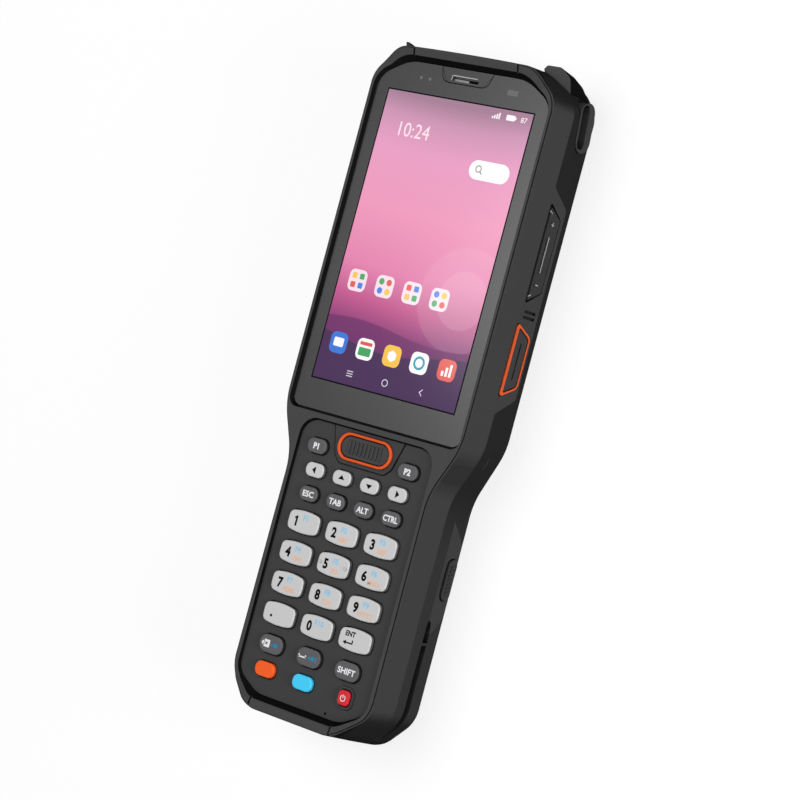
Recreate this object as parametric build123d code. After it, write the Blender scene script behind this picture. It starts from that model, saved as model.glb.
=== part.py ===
from build123d import *

import os
from math import atan2, cos, radians, sin, tan

# Portable barcode data terminal: a screen head, a neck and a narrower keypad handle, lying on its back.
# All sizes are in millimetres and degrees.
# +X points to the right-hand side, +Y to the scanning end and +Z out of the screen.
# The origin is the middle of the floor under the outer box.

# ---------------------------------------------------------------- screen
SCREEN_WIDTH = 51.84
SCREEN_LENGTH = 86.40
SIDE_BEZEL = 4.78
END_BEZEL = 9.15
GLASS_THICKNESS = 1.1
GLASS_CORNER_ACROSS = 9.7
GLASS_CORNER_ALONG = 5.6
GLASS_TOP_RADIUS = 14.0
GLASS_SIDE_RADIUS = 7.0
GLASS_LOWER_RADIUS = 3.0
GLASS_FOOT_GAP = 0.6
DISPLAY_BORDER = 1.6
DISPLAY_THICKNESS = 1.9
EARPIECE_TOP_WIDTH = 18.6
EARPIECE_LOWER_WIDTH = 12.4
EARPIECE_DEPTH = 4.4
EARPIECE_SLOT_WIDTH = 9.2
EARPIECE_SLOT_HEIGHT = 1.2
EARPIECE_SLOT_DROP = 3.1
MESH_THICKNESS = 0.4

# ---------------------------------------------------------------- housing outline
TOP_BAND = 4.75
NECK_BAR = 2.75
BOTTOM_BAND = 5.2
HEAD_RIM = 2.3
HANDLE_RIM = 2.2
TOP_CROWN = 0.5
CROWN_RADIUS = 900.0
TOP_CORNER = 8.7
BOTTOM_CORNER_ACROSS = 9.8
BOTTOM_CORNER_ALONG = 9.4
OUTLINE_RADIUS = 8.0
BOTTOM_CORNER_RADIUS = 10.0
FOOT_FLARE = 0.3
NECK_RADIUS = 22.0
NECK_LENGTH = 14.7

# ---------------------------------------------------------------- housing heights
BODY_DEPTH = 25.0
PARTING_DROP = 9.3
RIM_HEIGHT = 1.2
TOP_RIM_HEIGHT = 3.6
BOTTOM_RIM_HEIGHT = 3.4
TOP_RAMP = 7.0
BOTTOM_RAMP = 6.0
BOTTOM_RIM_FLAT = 2.8
RAMP_RADIUS = 4.0
RIM_EDGE = 0.5
RIM_STEP_WIDTH = 0.55
RIM_STEP_DEPTH = 0.45
RIM_FLARE = 0.35
RIM_TOP_FLARE = 0.55
RIM_FOOT_FLARE = 0.45
RIM_PLAIN_FLARE = 0.1
FRONT_DRAFT = 2.6
SIDE_DRAFT = 8.5
END_DRAFT = 2.5
FOOT_LEAN = 4.3
BACK_RADIUS = 3.0
HANDLE_BACK_GAIN = 0.45
TOP_CORNER_BACK_GAIN = 2.2
NECK_BACK_RISE = 2.0
SIDE_WALL = 2.4
END_LEDGE = 0.6
LEDGE = 1.4
SHELF = 1.2
FLOOR = 2.2

# ---------------------------------------------------------------- keypad
KEYPAD_MARGIN = 4.15
KEYPAD_TOP_RADIUS = 5.5
KEYPAD_CORNER_ACROSS = 8.6
KEYPAD_CORNER_ALONG = 4.9
KEYPAD_SIDE_RADIUS = 6.0
KEYPAD_FOOT_RADIUS = 9.0
PANEL_THICKNESS = 1.4
PANEL_RISE = 0.2
PANEL_TOP_GAP = 0.35
DIGIT_SPACING = 2.7
MODIFIER_SPACING = 3.45
PROGRAM_SIDE_GAP = 3.4
POWER_SHIFT = 1.2
SCAN_TOP_GAP = 0.9
PROGRAM_TOP_GAP = 5.1
ARROW_GAP = 2.6
MODIFIER_GAP = 2.85
DIGIT_TOP_GAP = 2.85
DIGIT_GAP = 2.55
EDIT_GAP = 3.0
COLOUR_GAP = 2.55
FOOT_GAP = 5.15
KEY_RISE = 1.2
KEY_TRAVEL = 0.7
KEY_GAP = 0.3
KEY_FLANGE = 0.8
KEY_FLANGE_LIP = 0.5
KEY_FOOT = 0.4
KEY_FOOT_RADIUS = 1.4
KEY_EDGE = 0.45
DIGIT_KEY = {"width": 11.5, "height": 6.6, "radius": 1.7, "bulge": 0.7}
ARROW_KEY = {"width": 6.7, "height": 4.2, "radius": 1.9, "bulge": 0.0}
MODIFIER_KEY = {"width": 6.7, "height": 4.3, "radius": 2.1, "bulge": 0.0}
PROGRAM_KEY = {"width": 7.0, "height": 4.4, "radius": 2.1, "bulge": 0.0}
EDIT_KEY = {"width": 8.6, "height": 5.3, "radius": 2.5, "bulge": 0.0}
COLOUR_KEY = {"width": 7.1, "height": 4.4, "radius": 2.0, "bulge": 0.0}
POWER_KEY = {"width": 4.0, "height": 4.4, "radius": 1.3, "bulge": 0.0}
MARK_RADIUS = 0.45
MARK_RISE = 0.2
MARK_COLUMN = 4.7
POWER_COLLAR = 0.75
COLLAR_RISE = 0.35
MICROPHONE_RADIUS = 0.4
MICROPHONE_X = 10.0
MICROPHONE_RISE = 1.2
BOARD_THICKNESS = 1.2
DOME_RADIUS = 2.5
KEYPAD_BOARD_SIDE = 1.8
KEYPAD_BOARD_TOP = 0.6
KEYPAD_BOARD_FOOT = 1.4
KEYPAD_BOARD_CORNER = 5.0
DOME_RISE = 0.5
DOME_GAP = 0.2

# ---------------------------------------------------------------- scan key
SCAN_RING_WIDTH = 19.6
SCAN_RING_HEIGHT = 8.1
SCAN_RING_WALL = 0.95
SCAN_RING_RISE = 1.0
SCAN_RING_EDGE = 0.3
SCAN_KEY_DROP = 0.25
SCAN_RIB_COUNT = 9
SCAN_RIB_PITCH = 1.4
SCAN_RIB_WIDTH = 0.6
SCAN_RIB_LENGTH = 4.0
SCAN_RIB_RISE = 0.25
PLATEAU_TOP_WIDTH = 25.4
PLATEAU_LOWER_WIDTH = 20.6
PLATEAU_FOOT_WIDTH = 16.4
PLATEAU_HEIGHT = 10.1
PLATEAU_FOOT = 2.0
PLATEAU_RISE = 0.25
PLATEAU_GROOVE = 0.35

# ---------------------------------------------------------------- side controls
POD_TOP_MARGIN = 4.2
POD_FOOT_MARGIN = 5.0
POD_DEPTH = 8.5
POD_SLANT = 5.2
TRIGGER_LONG = 21.5
TRIGGER_SHORT = 14.8
TRIGGER_HEIGHT = 7.9
TRIGGER_OVERLAP = 0.7
TRIGGER_RING_WALL = 0.6
TRIGGER_RING_FRONT_WALL = 1.15
TRIGGER_RING_RISE = 0.35
TRIGGER_RING_DEPTH = 1.3
TRIGGER_SEAT_GAP = 0.2
TRIGGER_REAR_RADIUS = 2.4
TRIGGER_RISE = 0.15
TRIGGER_TRAVEL = 0.8
TRIGGER_GAP = 0.3
TRIGGER_FLANGE = 1.0
TRIGGER_FLANGE_LIP = 0.8
TRIGGER_GROOVE = 0.6
TRIGGER_GROOVE_LENGTH = 10.5
VOLUME_CENTRE = 6.5
VOLUME_LONG = 29.8
VOLUME_SHORT = 21.4
VOLUME_HEIGHT = 7.0
VOLUME_TRIGGER_GAP = 5.4
VOLUME_RECESS = 1.7
VOLUME_GAP = 0.35
VOLUME_FRONT_GAP = 0.6
VOLUME_SHIFT = 0.2
VOLUME_PLATE = 1.1
VOLUME_SINK = 0.1
VOLUME_SLANT = 0.6
VOLUME_RIDGE_WIDTH = 0.6
VOLUME_RIDGE_LENGTH = 11.0
VOLUME_MARK_LENGTH = 1.7
VOLUME_MARK_WIDTH = 0.5
VOLUME_MARK_SPACING = 17.6
VOLUME_STEM_RADIUS = 0.8
VOLUME_STEM_SPACING = 18.0
VOLUME_STEM_GAP = 0.4
VOLUME_STEM_LENGTH = 3.2
RIB_GROOVE_WIDTH = 0.8
RIB_GROOVE_LENGTH = 5.8
RIB_GROOVE_DEPTH = 0.8
RIB_GROOVE_PITCH = 1.6
RIB_GROOVE_DROP = 1.1

# ---------------------------------------------------------------- ends
TOP_CAP_WIDTH = 37.0
BOTTOM_CAP_WIDTH = 30.0
CAP_BASE = 6.5
CAP_GAP = 0.15
SEAM_WIDTH = 0.6
SEAM_DEPTH = 0.4
WINDOW_WIDTH = 28.6
WINDOW_HEIGHT = 11.0
WINDOW_THICKNESS = 1.2
WINDOW_SINK = 1.6
WINDOW_LIP = 1.3
FIT = 0.1
EAR_REACH = 1.2
EAR_INNER_INSET = 9.3
EAR_SIDE_INSET = 3.6
EAR_SIDE_SLIP = 1.0
EAR_DEPTH = 8.0
EAR_CORNER_ACROSS = 1.5
EAR_CORNER_ALONG = 1.7
EAR_CORNER_RADIUS = 0.8
EAR_INNER_ACROSS = 1.0
EAR_INNER_ALONG = 1.9
EAR_INNER_DROP = 0.75
EAR_INNER_RADIUS = 1.0
EAR_LEAN = 7.5
EAR_BASE = 4.6
EAR_PEAK_HEIGHT = 20.4
EAR_FACE_HEIGHT = 22.5
EAR_FACE_SLOPE = 51.0
EAR_BACK_HEIGHT = 12.5
EAR_BACK_SLOPE = 61.0
LUG_CENTRE = 8.2
LUG_WIDTH = 7.3
LUG_SLOT_WIDTH = 3.5
LUG_SLOT_SHIFT = 1.0
LUG_END_RIM = 0.9
LUG_TOP_DROP = 5.6
LUG_LENGTH = 14.4
LUG_RISE = 0.7
LUG_SLOT_DEPTH = 2.3
LUG_ROOT = 4.0
LUG_TILT = 8.0
PORT_WIDTH = 9.0
PORT_HEIGHT = 3.2
PORT_LENGTH = 8.0
PORT_SINK = 0.8
PORT_WALL = 0.35
PORT_TONGUE = 0.7
CONTACT_COUNT = 5
CONTACT_PITCH = 3.0
CONTACT_WIDTH = 1.8
CONTACT_HEIGHT = 2.4
CONTACT_THICKNESS = 0.8
CONTACT_SINK = 0.4
CONTACT_Z = 10.5

# ---------------------------------------------------------------- handle and battery
BATTERY_LENGTH = 72.0
BAY_MARGIN = 6.3
HANDLE_ROOM = 4.7
BATTERY_GAP = 0.3
BATTERY_CORNER = 3.0
BATTERY_FOOT = 6.5
BATTERY_GRIP_COUNT = 5
BATTERY_GRIP_PITCH = 3.0
BATTERY_GRIP_WIDTH = 1.2
BATTERY_GRIP_LENGTH = 18.0
BATTERY_GRIP_DROP = 8.0
BATTERY_EDGE_RADIUS = 0.5
BATTERY_GRIP_DEPTH = 0.6
BAY_ROOF = 1.2
LATCH_DROP = 28.5
LATCH_EDGE_RADIUS = 0.4
LATCH_RIB_INSET = 0.8
LATCH_LENGTH = 12.2
LATCH_HEIGHT = 4.0
LATCH_Z = 4.0
LATCH_RISE = 0.5
LATCH_GAP = 0.25
LATCH_TRAVEL = 1.2
LATCH_BATTERY_GAP = 0.35
LATCH_RIB_COUNT = 7
LATCH_RIB_PITCH = 1.3
LATCH_RIB_RISE = 0.3
LATCH_RIB_WIDTH = 0.6
SCOOP_LENGTH = 23.5
SCOOP_DEPTH = 0.7
SCOOP_TOP = 10.0
GUIDE_TOP_DROP = 46.7
GUIDE_Z = 9.05
GUIDE_WIDTH = 3.0
GUIDE_DEPTH = 2.2
GUIDE_RIB_DROP = 7.0
GUIDE_RIB_WIDTH = 0.8

# ---------------------------------------------------------------- inside
FRAME_THICKNESS = 1.8
FRAME_GAP = 1.6
FRAME_TOP_DROP = 12.8
FRAME_FOOT_RISE = 5.4
STANDOFF = 2.2
STANDOFF_RADIUS = 2.0
BOARD_MARGIN = 3.0
BOARD_POST_TOP = 14.0
BOARD_POST_FOOT = 12.0
CHIP_HEIGHT = 2.0
ENGINE_WIDTH = 24.0
ENGINE_LENGTH = 17.0
ENGINE_HEIGHT = 10.0
ENGINE_TOP_GAP = 0.6
ENGINE_GAP = 0.4
ENGINE_LENS_RADIUS = 3.2
POST_RADIUS = 2.0
CAMERA_DROP = 39.0
CAMERA_WINDOW_RADIUS = 6.5
CAMERA_WINDOW_THICKNESS = 1.0
CAMERA_BARREL_RADIUS = 4.2
CAMERA_HEIGHT = 6.5
CAMERA_SINK = 0.3
CAMERA_BLOCK = 10.0
SPEAKER_DROP = 88.0
SPEAKER_WIDTH = 20.0
SPEAKER_LENGTH = 12.0
SPEAKER_HEIGHT = 5.0
SPEAKER_SLOTS = 5
SPEAKER_SLOT_WIDTH = 1.0
SPEAKER_SLOT_LENGTH = 12.0
SPEAKER_SLOT_PITCH = 2.0
SCREW_INSET = 6.5
SCREW_TOP_DROP = 9.6
SCREW_FOOT_RISE = 0.9
SCREW_RADIUS = 1.0
SCREW_HEAD_RADIUS = 1.9
SCREW_HEAD_HEIGHT = 1.5
SCREW_SINK = 1.0
SCREW_BITE = 3.5
SCREW_SOCKET_RADIUS = 0.9
SCREW_SOCKET_DEPTH = 0.8
SCREW_PLAY = 0.1
BOSS_RADIUS = 2.5

# ---------------------------------------------------------------- worked-out heights
glass_face_z = BODY_DEPTH
parting_z = glass_face_z - PARTING_DROP
rim_z = glass_face_z + RIM_HEIGHT
glass_seat_z = glass_face_z - GLASS_THICKNESS
display_back_z = glass_seat_z - DISPLAY_THICKNESS
panel_face_z = glass_face_z + PANEL_RISE
panel_seat_z = panel_face_z - PANEL_THICKNESS
cavity_top_z = min(glass_seat_z, panel_seat_z) - LEDGE
frame_back_z = cavity_top_z - FRAME_THICKNESS
main_board_top_z = frame_back_z - STANDOFF
main_board_back_z = main_board_top_z - BOARD_THICKNESS
key_flange_top_z = panel_seat_z - KEY_GAP
key_flange_back_z = key_flange_top_z - KEY_FLANGE
key_foot_z = key_flange_back_z - KEY_FOOT
keypad_board_top_z = key_foot_z - KEY_TRAVEL - DOME_GAP - DOME_RISE
keypad_board_back_z = keypad_board_top_z - BOARD_THICKNESS
bay_top_z = keypad_board_back_z - HANDLE_ROOM
bay_roof_z = bay_top_z - BAY_ROOF
battery_depth = bay_roof_z - BATTERY_GAP
engine_top_z = frame_back_z - ENGINE_TOP_GAP
engine_base_z = engine_top_z - ENGINE_HEIGHT
window_low_z = engine_base_z + (ENGINE_HEIGHT - WINDOW_HEIGHT) / 2
window_high_z = window_low_z + WINDOW_HEIGHT
end_wall = WINDOW_SINK + WINDOW_THICKNESS + END_LEDGE

# ---------------------------------------------------------------- worked-out places in plan
glass_width = SCREEN_WIDTH + 2 * SIDE_BEZEL
glass_length = SCREEN_LENGTH + 2 * END_BEZEL


def row_step(above, gap, below):
    """Distance between two rows of keys with the given gap between them."""
    return (above["height"] + below["height"]) / 2 + gap


digit_column = DIGIT_KEY["width"] + DIGIT_SPACING
modifier_column = MODIFIER_KEY["width"] + MODIFIER_SPACING
program_column = SCAN_RING_WIDTH / 2 + PROGRAM_SIDE_GAP + PROGRAM_KEY["width"] / 2
power_column = digit_column + POWER_SHIFT
digit_pitch = DIGIT_KEY["height"] + DIGIT_GAP
scan_drop = SCAN_TOP_GAP + SCAN_RING_HEIGHT / 2
program_drop = PROGRAM_TOP_GAP + PROGRAM_KEY["height"] / 2
arrow_drop = program_drop + row_step(PROGRAM_KEY, ARROW_GAP, ARROW_KEY)
modifier_drop = arrow_drop + row_step(ARROW_KEY, MODIFIER_GAP, MODIFIER_KEY)
digit_drop = modifier_drop + row_step(MODIFIER_KEY, DIGIT_TOP_GAP, DIGIT_KEY)
edit_drop = digit_drop + 3 * digit_pitch + row_step(DIGIT_KEY, EDIT_GAP, EDIT_KEY)
colour_drop = edit_drop + row_step(EDIT_KEY, COLOUR_GAP, COLOUR_KEY)
keypad_length = colour_drop + COLOUR_KEY["height"] / 2 + FOOT_GAP
keypad_width = 2 * (digit_column + DIGIT_KEY["width"] / 2 + KEYPAD_MARGIN)

head_half = glass_width / 2 + HEAD_RIM
handle_half = keypad_width / 2 + HANDLE_RIM
battery_width = 2 * (handle_half - BAY_MARGIN)
body_length = TOP_BAND + glass_length + NECK_BAR + keypad_length + BOTTOM_BAND
lean = radians(FOOT_LEAN)
foot_reach = tan(lean) * (parting_z - BACK_RADIUS) - BACK_RADIUS * (1 / cos(lean) - 1)
bottom_y = (foot_reach - body_length - EAR_REACH) / 2
top_y = bottom_y + body_length
glass_top_y = top_y - TOP_BAND
glass_bottom_y = glass_top_y - glass_length
screen_y = (glass_top_y + glass_bottom_y) / 2
neck_top_y = glass_bottom_y
neck_bottom_y = neck_top_y - NECK_LENGTH
neck_angle = atan2(head_half - handle_half, NECK_LENGTH)
keypad_top_y = glass_bottom_y - NECK_BAR
keypad_bottom_y = keypad_top_y - keypad_length
far = 2 * body_length


# ---------------------------------------------------------------- shape helpers
def block(x, y, z):
    """Box between a low and a high value on each axis."""
    centre = [(low + high) / 2 for low, high in (x, y, z)]
    size = [high - low for low, high in (x, y, z)]
    return Pos(*centre) * Box(*size)


def rounded(points, radii):
    """Flat outline through the points, each corner rounded."""
    return make_face(FilletPolyline(*points, radius=radii, close=True))


def both_sides(right):
    """Add the left-hand copies of outline points listed up the right-hand side."""
    return right + [(-x, y) for x, y in reversed(right) if x > 0]


def slab(outline, low, high):
    """Stand an outline up from one height to another."""
    return extrude(Pos(0, 0, low) * outline, amount=high - low)


def side_prism(outline, low, high):
    """Extrude an outline drawn in Y and Z from one X to another."""
    return extrude(Plane.YZ.offset(low) * outline, amount=high - low)


def disc(x, y, radius, low, high):
    """Upright cylinder between two heights."""
    return Pos(x, y, (low + high) / 2) * Cylinder(radius, high - low)


def side_disc(y, z, radius, low, high):
    """Cylinder along X between two distances from the middle."""
    return Pos((low + high) / 2, y, z) * Rot(0, 90, 0) * Cylinder(radius, high - low)


def flipped(shape):
    """Mirror a right-hand shape to the left-hand side."""
    return mirror(shape, about=Plane.YZ)


def pair(shape):
    """A right-hand shape together with its mirror image."""
    return shape + flipped(shape)


# ---------------------------------------------------------------- housing outlines
def body_outline(side=0.0, top_end=0.0, foot_end=0.0, back=0.0):
    """Outline of the housing, drawn in at the sides and at each end; back is 1 on the back plane."""
    head = head_half - side
    handle = handle_half - side + back * HANDLE_BACK_GAIN
    corner = TOP_CORNER - back * TOP_CORNER_BACK_GAIN
    top = top_y - top_end
    foot = bottom_y + foot_end
    corner_slip = tan(radians(22.5)) * side
    neck_slip = tan(neck_angle / 2) * side
    right = [
        (handle_half - BOTTOM_CORNER_ACROSS - corner_slip, foot),
        (handle + FOOT_FLARE, bottom_y + BOTTOM_CORNER_ALONG + corner_slip + min(foot_end, 0)),
        (handle, neck_bottom_y + neck_slip),
        (head, neck_top_y + neck_slip + back * NECK_BACK_RISE),
        (head, top_y - TOP_CROWN - corner - corner_slip),
        (head_half - corner - corner_slip, top - TOP_CROWN),
        (0, top),
    ]
    round_off = [BOTTOM_CORNER_RADIUS] * 2 + [NECK_RADIUS] * 2 + [OUTLINE_RADIUS] * 2
    return rounded(both_sides(right), round_off + [CROWN_RADIUS] + round_off[::-1])


def drafted(low, high, side, top_end, foot_end, inset=0.0, back=0.0):
    """Housing solid whose outline draws in evenly from one height to another."""
    start = Pos(0, 0, low) * body_outline(inset, inset, inset)
    finish = Pos(0, 0, high) * body_outline(inset + side, inset + top_end, inset + foot_end, back)
    return loft([start, finish], ruled=True)


def rim_profile(inset=0.0):
    """Side view of everything below the rim, from the lower end to the scanning end."""
    rim = rim_z - inset
    top_rim = glass_face_z + TOP_RIM_HEIGHT - inset
    bottom_rim = glass_face_z + BOTTOM_RIM_HEIGHT - inset
    flat_end = bottom_y + BOTTOM_RIM_FLAT
    points = [
        (bottom_y - far, 0),
        (bottom_y - far, bottom_rim),
        (flat_end, bottom_rim),
        (flat_end + BOTTOM_RAMP, rim),
        (top_y - TOP_RAMP, rim),
        (top_y, top_rim),
        (top_y + EAR_REACH, top_rim),
        (top_y + EAR_REACH, 0),
    ]
    radii = [0, 0, RAMP_RADIUS, RAMP_RADIUS, RAMP_RADIUS, 0, 0, 0]
    return rounded(points, radii)


def front_block(inset=0.0):
    """Front cover's drafted sides, carried past the rim."""
    height = glass_face_z + TOP_RIM_HEIGHT + RIM_HEIGHT - parting_z
    draw = tan(radians(FRONT_DRAFT)) * height
    foot = tan(radians(FOOT_LEAN)) * height
    return drafted(parting_z, parting_z + height, draw, draw, foot, inset)


def rim_step():
    """Space of the fine step round the rim's outer edge."""
    outside = block((-far, far), (-far, far), (parting_z, far)) - front_block(RIM_STEP_WIDTH)
    return outside - side_prism(rim_profile(RIM_STEP_DEPTH), -far, far)


def front_envelope(inset=0.0):
    """Solid outer form of the front cover, rim included."""
    form = front_block(inset) & side_prism(rim_profile(inset), -far, far)
    if inset:
        return form
    rim_edges = [edge for edge in form.edges() if edge.bounding_box().min.Z > glass_face_z]
    return fillet(rim_edges, RIM_EDGE)


def back_envelope(inset=0.0):
    """Solid outer form of the rear cover, with its back edge rounded."""
    side = tan(radians(SIDE_DRAFT)) * parting_z
    top_end = tan(radians(END_DRAFT)) * parting_z
    foot_end = -tan(radians(FOOT_LEAN)) * parting_z
    form = drafted(parting_z, 0, side, top_end, foot_end, inset, back=1.0)
    if inset:
        return form
    return fillet(form.faces().sort_by(Axis.Z)[0].edges(), BACK_RADIUS)


def glass_outline(sides=0.0, top=0.0, bottom=0.0):
    """Outline of the touch glass, grown by the given amounts."""
    half = glass_width / 2 + sides
    flat = glass_width / 2 - GLASS_CORNER_ACROSS + sides
    high = glass_top_y + top
    right = [
        (half, glass_bottom_y - bottom),
        (half, high - GLASS_CORNER_ALONG),
        (flat, high),
    ]
    radii = [GLASS_LOWER_RADIUS, GLASS_SIDE_RADIUS, GLASS_TOP_RADIUS]
    return rounded(both_sides(right), radii + radii[::-1])


def keypad_outline(sides=0.0, bottom=0.0, top=0.0):
    """Outline of the keypad panel, grown by the given amounts."""
    half = keypad_width / 2 + sides
    flat = keypad_width / 2 - KEYPAD_CORNER_ACROSS + sides
    low = keypad_bottom_y - bottom
    right = [
        (flat, low),
        (half, low + KEYPAD_CORNER_ALONG),
        (half, keypad_top_y + top),
    ]
    radii = [KEYPAD_FOOT_RADIUS, KEYPAD_SIDE_RADIUS, KEYPAD_TOP_RADIUS]
    return rounded(both_sides(right), radii + radii[::-1])


def glass_pocket():
    """Space for the glass and the flared walls above it."""
    fit = glass_outline(FIT, FIT, GLASS_FOOT_GAP)
    height = TOP_RIM_HEIGHT + RIM_HEIGHT
    foot = GLASS_FOOT_GAP + RIM_PLAIN_FLARE * height
    mouth = glass_outline(FIT + RIM_FLARE * height, FIT + RIM_TOP_FLARE * height, foot)
    flare = loft([Pos(0, 0, glass_face_z) * fit, Pos(0, 0, glass_face_z + height) * mouth], ruled=True)
    return slab(fit, glass_seat_z, glass_face_z) + flare


def keypad_pocket():
    """Space for the keypad panel and the walls above it."""
    fit = keypad_outline(FIT, FIT, PANEL_TOP_GAP)
    height = BOTTOM_RIM_HEIGHT + RIM_HEIGHT
    widen = RIM_PLAIN_FLARE * height
    mouth = keypad_outline(FIT + widen, FIT + RIM_FOOT_FLARE * height, PANEL_TOP_GAP + widen)
    flare = loft([Pos(0, 0, panel_face_z) * fit, Pos(0, 0, panel_face_z + height) * mouth], ruled=True)
    return slab(fit, panel_seat_z, panel_face_z) + flare


# ---------------------------------------------------------------- side outlines, in Y and Z
def trapezoid(centre, long_side, short_side, high, low, inset=0.0, high_inset=None, radius=0.8, rear_radius=None):
    """Side-key outline: the long side is at the high edge, towards the screen."""
    rear_radius = rear_radius or radius
    high_inset = inset if high_inset is None else high_inset
    slope = (long_side - short_side) / 2 / (high - low)
    lean = inset * (1 + slope ** 2) ** 0.5
    top = high - high_inset
    base = low + inset
    top_half = long_side / 2 - slope * high_inset - lean
    base_half = short_side / 2 + slope * inset - lean
    points = [
        (centre - top_half, top),
        (centre - base_half, base),
        (centre + base_half, base),
        (centre + top_half, top),
    ]
    return rounded(points, [radius, rear_radius, rear_radius, radius])


volume_y = screen_y + VOLUME_CENTRE
volume_high_z = parting_z
volume_low_z = volume_high_z - VOLUME_HEIGHT
volume_z = (volume_high_z + volume_low_z) / 2
trigger_y = volume_y - (VOLUME_LONG + TRIGGER_LONG) / 2 - VOLUME_TRIGGER_GAP
trigger_high_z = parting_z + TRIGGER_OVERLAP
trigger_low_z = trigger_high_z - TRIGGER_HEIGHT


def trigger_outline(inset=0.0, front_inset=None, radius=0.8):
    """Outline of the side trigger's ring, drawn in by the insets."""
    return trapezoid(trigger_y, TRIGGER_LONG, TRIGGER_SHORT, trigger_high_z, trigger_low_z,
                     inset, front_inset, radius, TRIGGER_REAR_RADIUS - inset)


def volume_outline(inset=0.0, front_inset=None):
    """Outline of the volume rocker's recess, drawn in by the insets."""
    return trapezoid(volume_y, VOLUME_LONG, VOLUME_SHORT, volume_high_z, volume_low_z, inset, front_inset)


trigger_seat_x = head_half - TRIGGER_RING_DEPTH
trigger_wall_x = head_half - SIDE_WALL
trigger_insert = (TRIGGER_RING_WALL + TRIGGER_GAP, TRIGGER_RING_FRONT_WALL + TRIGGER_GAP)
trigger_hole = (TRIGGER_RING_WALL, TRIGGER_RING_FRONT_WALL)


def trigger_pocket():
    """Seat of the trigger ring and the hole behind it, on the right-hand side."""
    seat = side_prism(trigger_outline(-TRIGGER_SEAT_GAP, -TRIGGER_SEAT_GAP), trigger_seat_x, far)
    hole = side_prism(trigger_outline(*trigger_hole, radius=0.5), head_half - far, far)
    return seat + (hole & block((0, far), (-far, far), (0, far)))


def trigger_room():
    """Room behind the right-hand wall for the trigger's flange and its travel."""
    room = [inset - TRIGGER_FLANGE_LIP - TRIGGER_GAP for inset in trigger_hole]
    reach = TRIGGER_FLANGE + TRIGGER_TRAVEL + 2 * TRIGGER_GAP
    return side_prism(trigger_outline(*room), trigger_wall_x - reach, trigger_wall_x)


def volume_pocket():
    """Recess of the volume rocker with the holes for its two stems."""
    recess = side_prism(volume_outline(), head_half - VOLUME_RECESS, far)
    for side in (-1, 1):
        stem_y = volume_y + side * VOLUME_STEM_SPACING / 2
        radius = VOLUME_STEM_RADIUS + VOLUME_STEM_GAP
        recess += side_disc(stem_y, volume_z, radius, head_half - 2 * SIDE_WALL, head_half)
    return recess


# ---------------------------------------------------------------- keys
def key_outline(style, grow=0.0):
    """Outline of a key centred on the origin, grown all round."""
    half_width = style["width"] / 2 + grow
    half_height = style["height"] / 2 + grow
    radius = style["radius"] + grow
    if not style["bulge"]:
        return RectangleRounded(2 * half_width, 2 * half_height, min(radius, half_height - 0.01))
    corner_x = half_width - style["bulge"] / 3
    corner_y = half_height - style["bulge"]
    top = ThreePointArc((-corner_x, corner_y), (0, half_height), (corner_x, corner_y))
    right = ThreePointArc((corner_x, corner_y), (half_width, 0), (corner_x, -corner_y))
    bottom = ThreePointArc((corner_x, -corner_y), (0, -half_height), (-corner_x, -corner_y))
    left = ThreePointArc((-corner_x, -corner_y), (-half_width, 0), (-corner_x, corner_y))
    outline = make_face([top, right, bottom, left])
    return fillet(outline.vertices(), radius)


def key_solid(x, y, style):
    """Key with its retaining flange and the foot that presses the dome."""
    face_z = panel_face_z + KEY_RISE
    cap = slab(Pos(x, y) * key_outline(style), key_flange_top_z, face_z)
    cap = fillet(cap.faces().sort_by(Axis.Z)[-1].edges(), KEY_EDGE)
    flange_grow = KEY_GAP + KEY_FLANGE_LIP
    flange = slab(Pos(x, y) * key_outline(style, flange_grow), key_flange_back_z, key_flange_top_z)
    foot = disc(x, y, KEY_FOOT_RADIUS, key_foot_z, key_flange_back_z)
    return cap + flange + foot


def key_places():
    """Name, centre and style of every key on the pad."""
    places = []

    def row(drop, names, columns, style):
        for name, x in zip(names, columns):
            places.append((name, x, keypad_top_y - drop, style))

    program = [-program_column, program_column]
    four = [step * modifier_column / 2 for step in (-3, -1, 1, 3)]
    three = [-digit_column, 0, digit_column]
    row(program_drop, ["p1", "p2"], program, PROGRAM_KEY)
    row(arrow_drop, ["left", "up", "down", "right"], four, ARROW_KEY)
    row(modifier_drop, ["esc", "tab", "alt", "ctrl"], four, MODIFIER_KEY)
    digit_rows = [["1", "2", "3"], ["4", "5", "6"], ["7", "8", "9"], ["dot", "0", "enter"]]
    for index, names in enumerate(digit_rows):
        row(digit_drop + index * digit_pitch, names, three, DIGIT_KEY)
    row(edit_drop, ["backspace", "space", "shift"], three, EDIT_KEY)
    row(colour_drop, ["orange", "blue"], three[:2], COLOUR_KEY)
    row(colour_drop, ["power"], [power_column], POWER_KEY)
    return places


keys = key_places()
scan_y = keypad_top_y - scan_drop
scan_hole_width = SCAN_RING_WIDTH - 2 * SCAN_RING_WALL
scan_hole_height = SCAN_RING_HEIGHT - 2 * SCAN_RING_WALL + 0.3
scan_ring_z = panel_face_z + SCAN_RING_RISE


def stadium(width, height):
    """Oval with straight long sides, centred on the scan key."""
    return Pos(0, scan_y) * RectangleRounded(width, height, height / 2 - 0.01)


def make_scan_ring():
    """Fixed ring round the scan key, seated in the panel."""
    outer = slab(stadium(SCAN_RING_WIDTH, SCAN_RING_HEIGHT), panel_seat_z, scan_ring_z)
    ring = outer - slab(stadium(scan_hole_width, scan_hole_height), 0, far)
    return fillet(ring.faces().sort_by(Axis.Z)[-1].edges(), SCAN_RING_EDGE)


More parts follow.
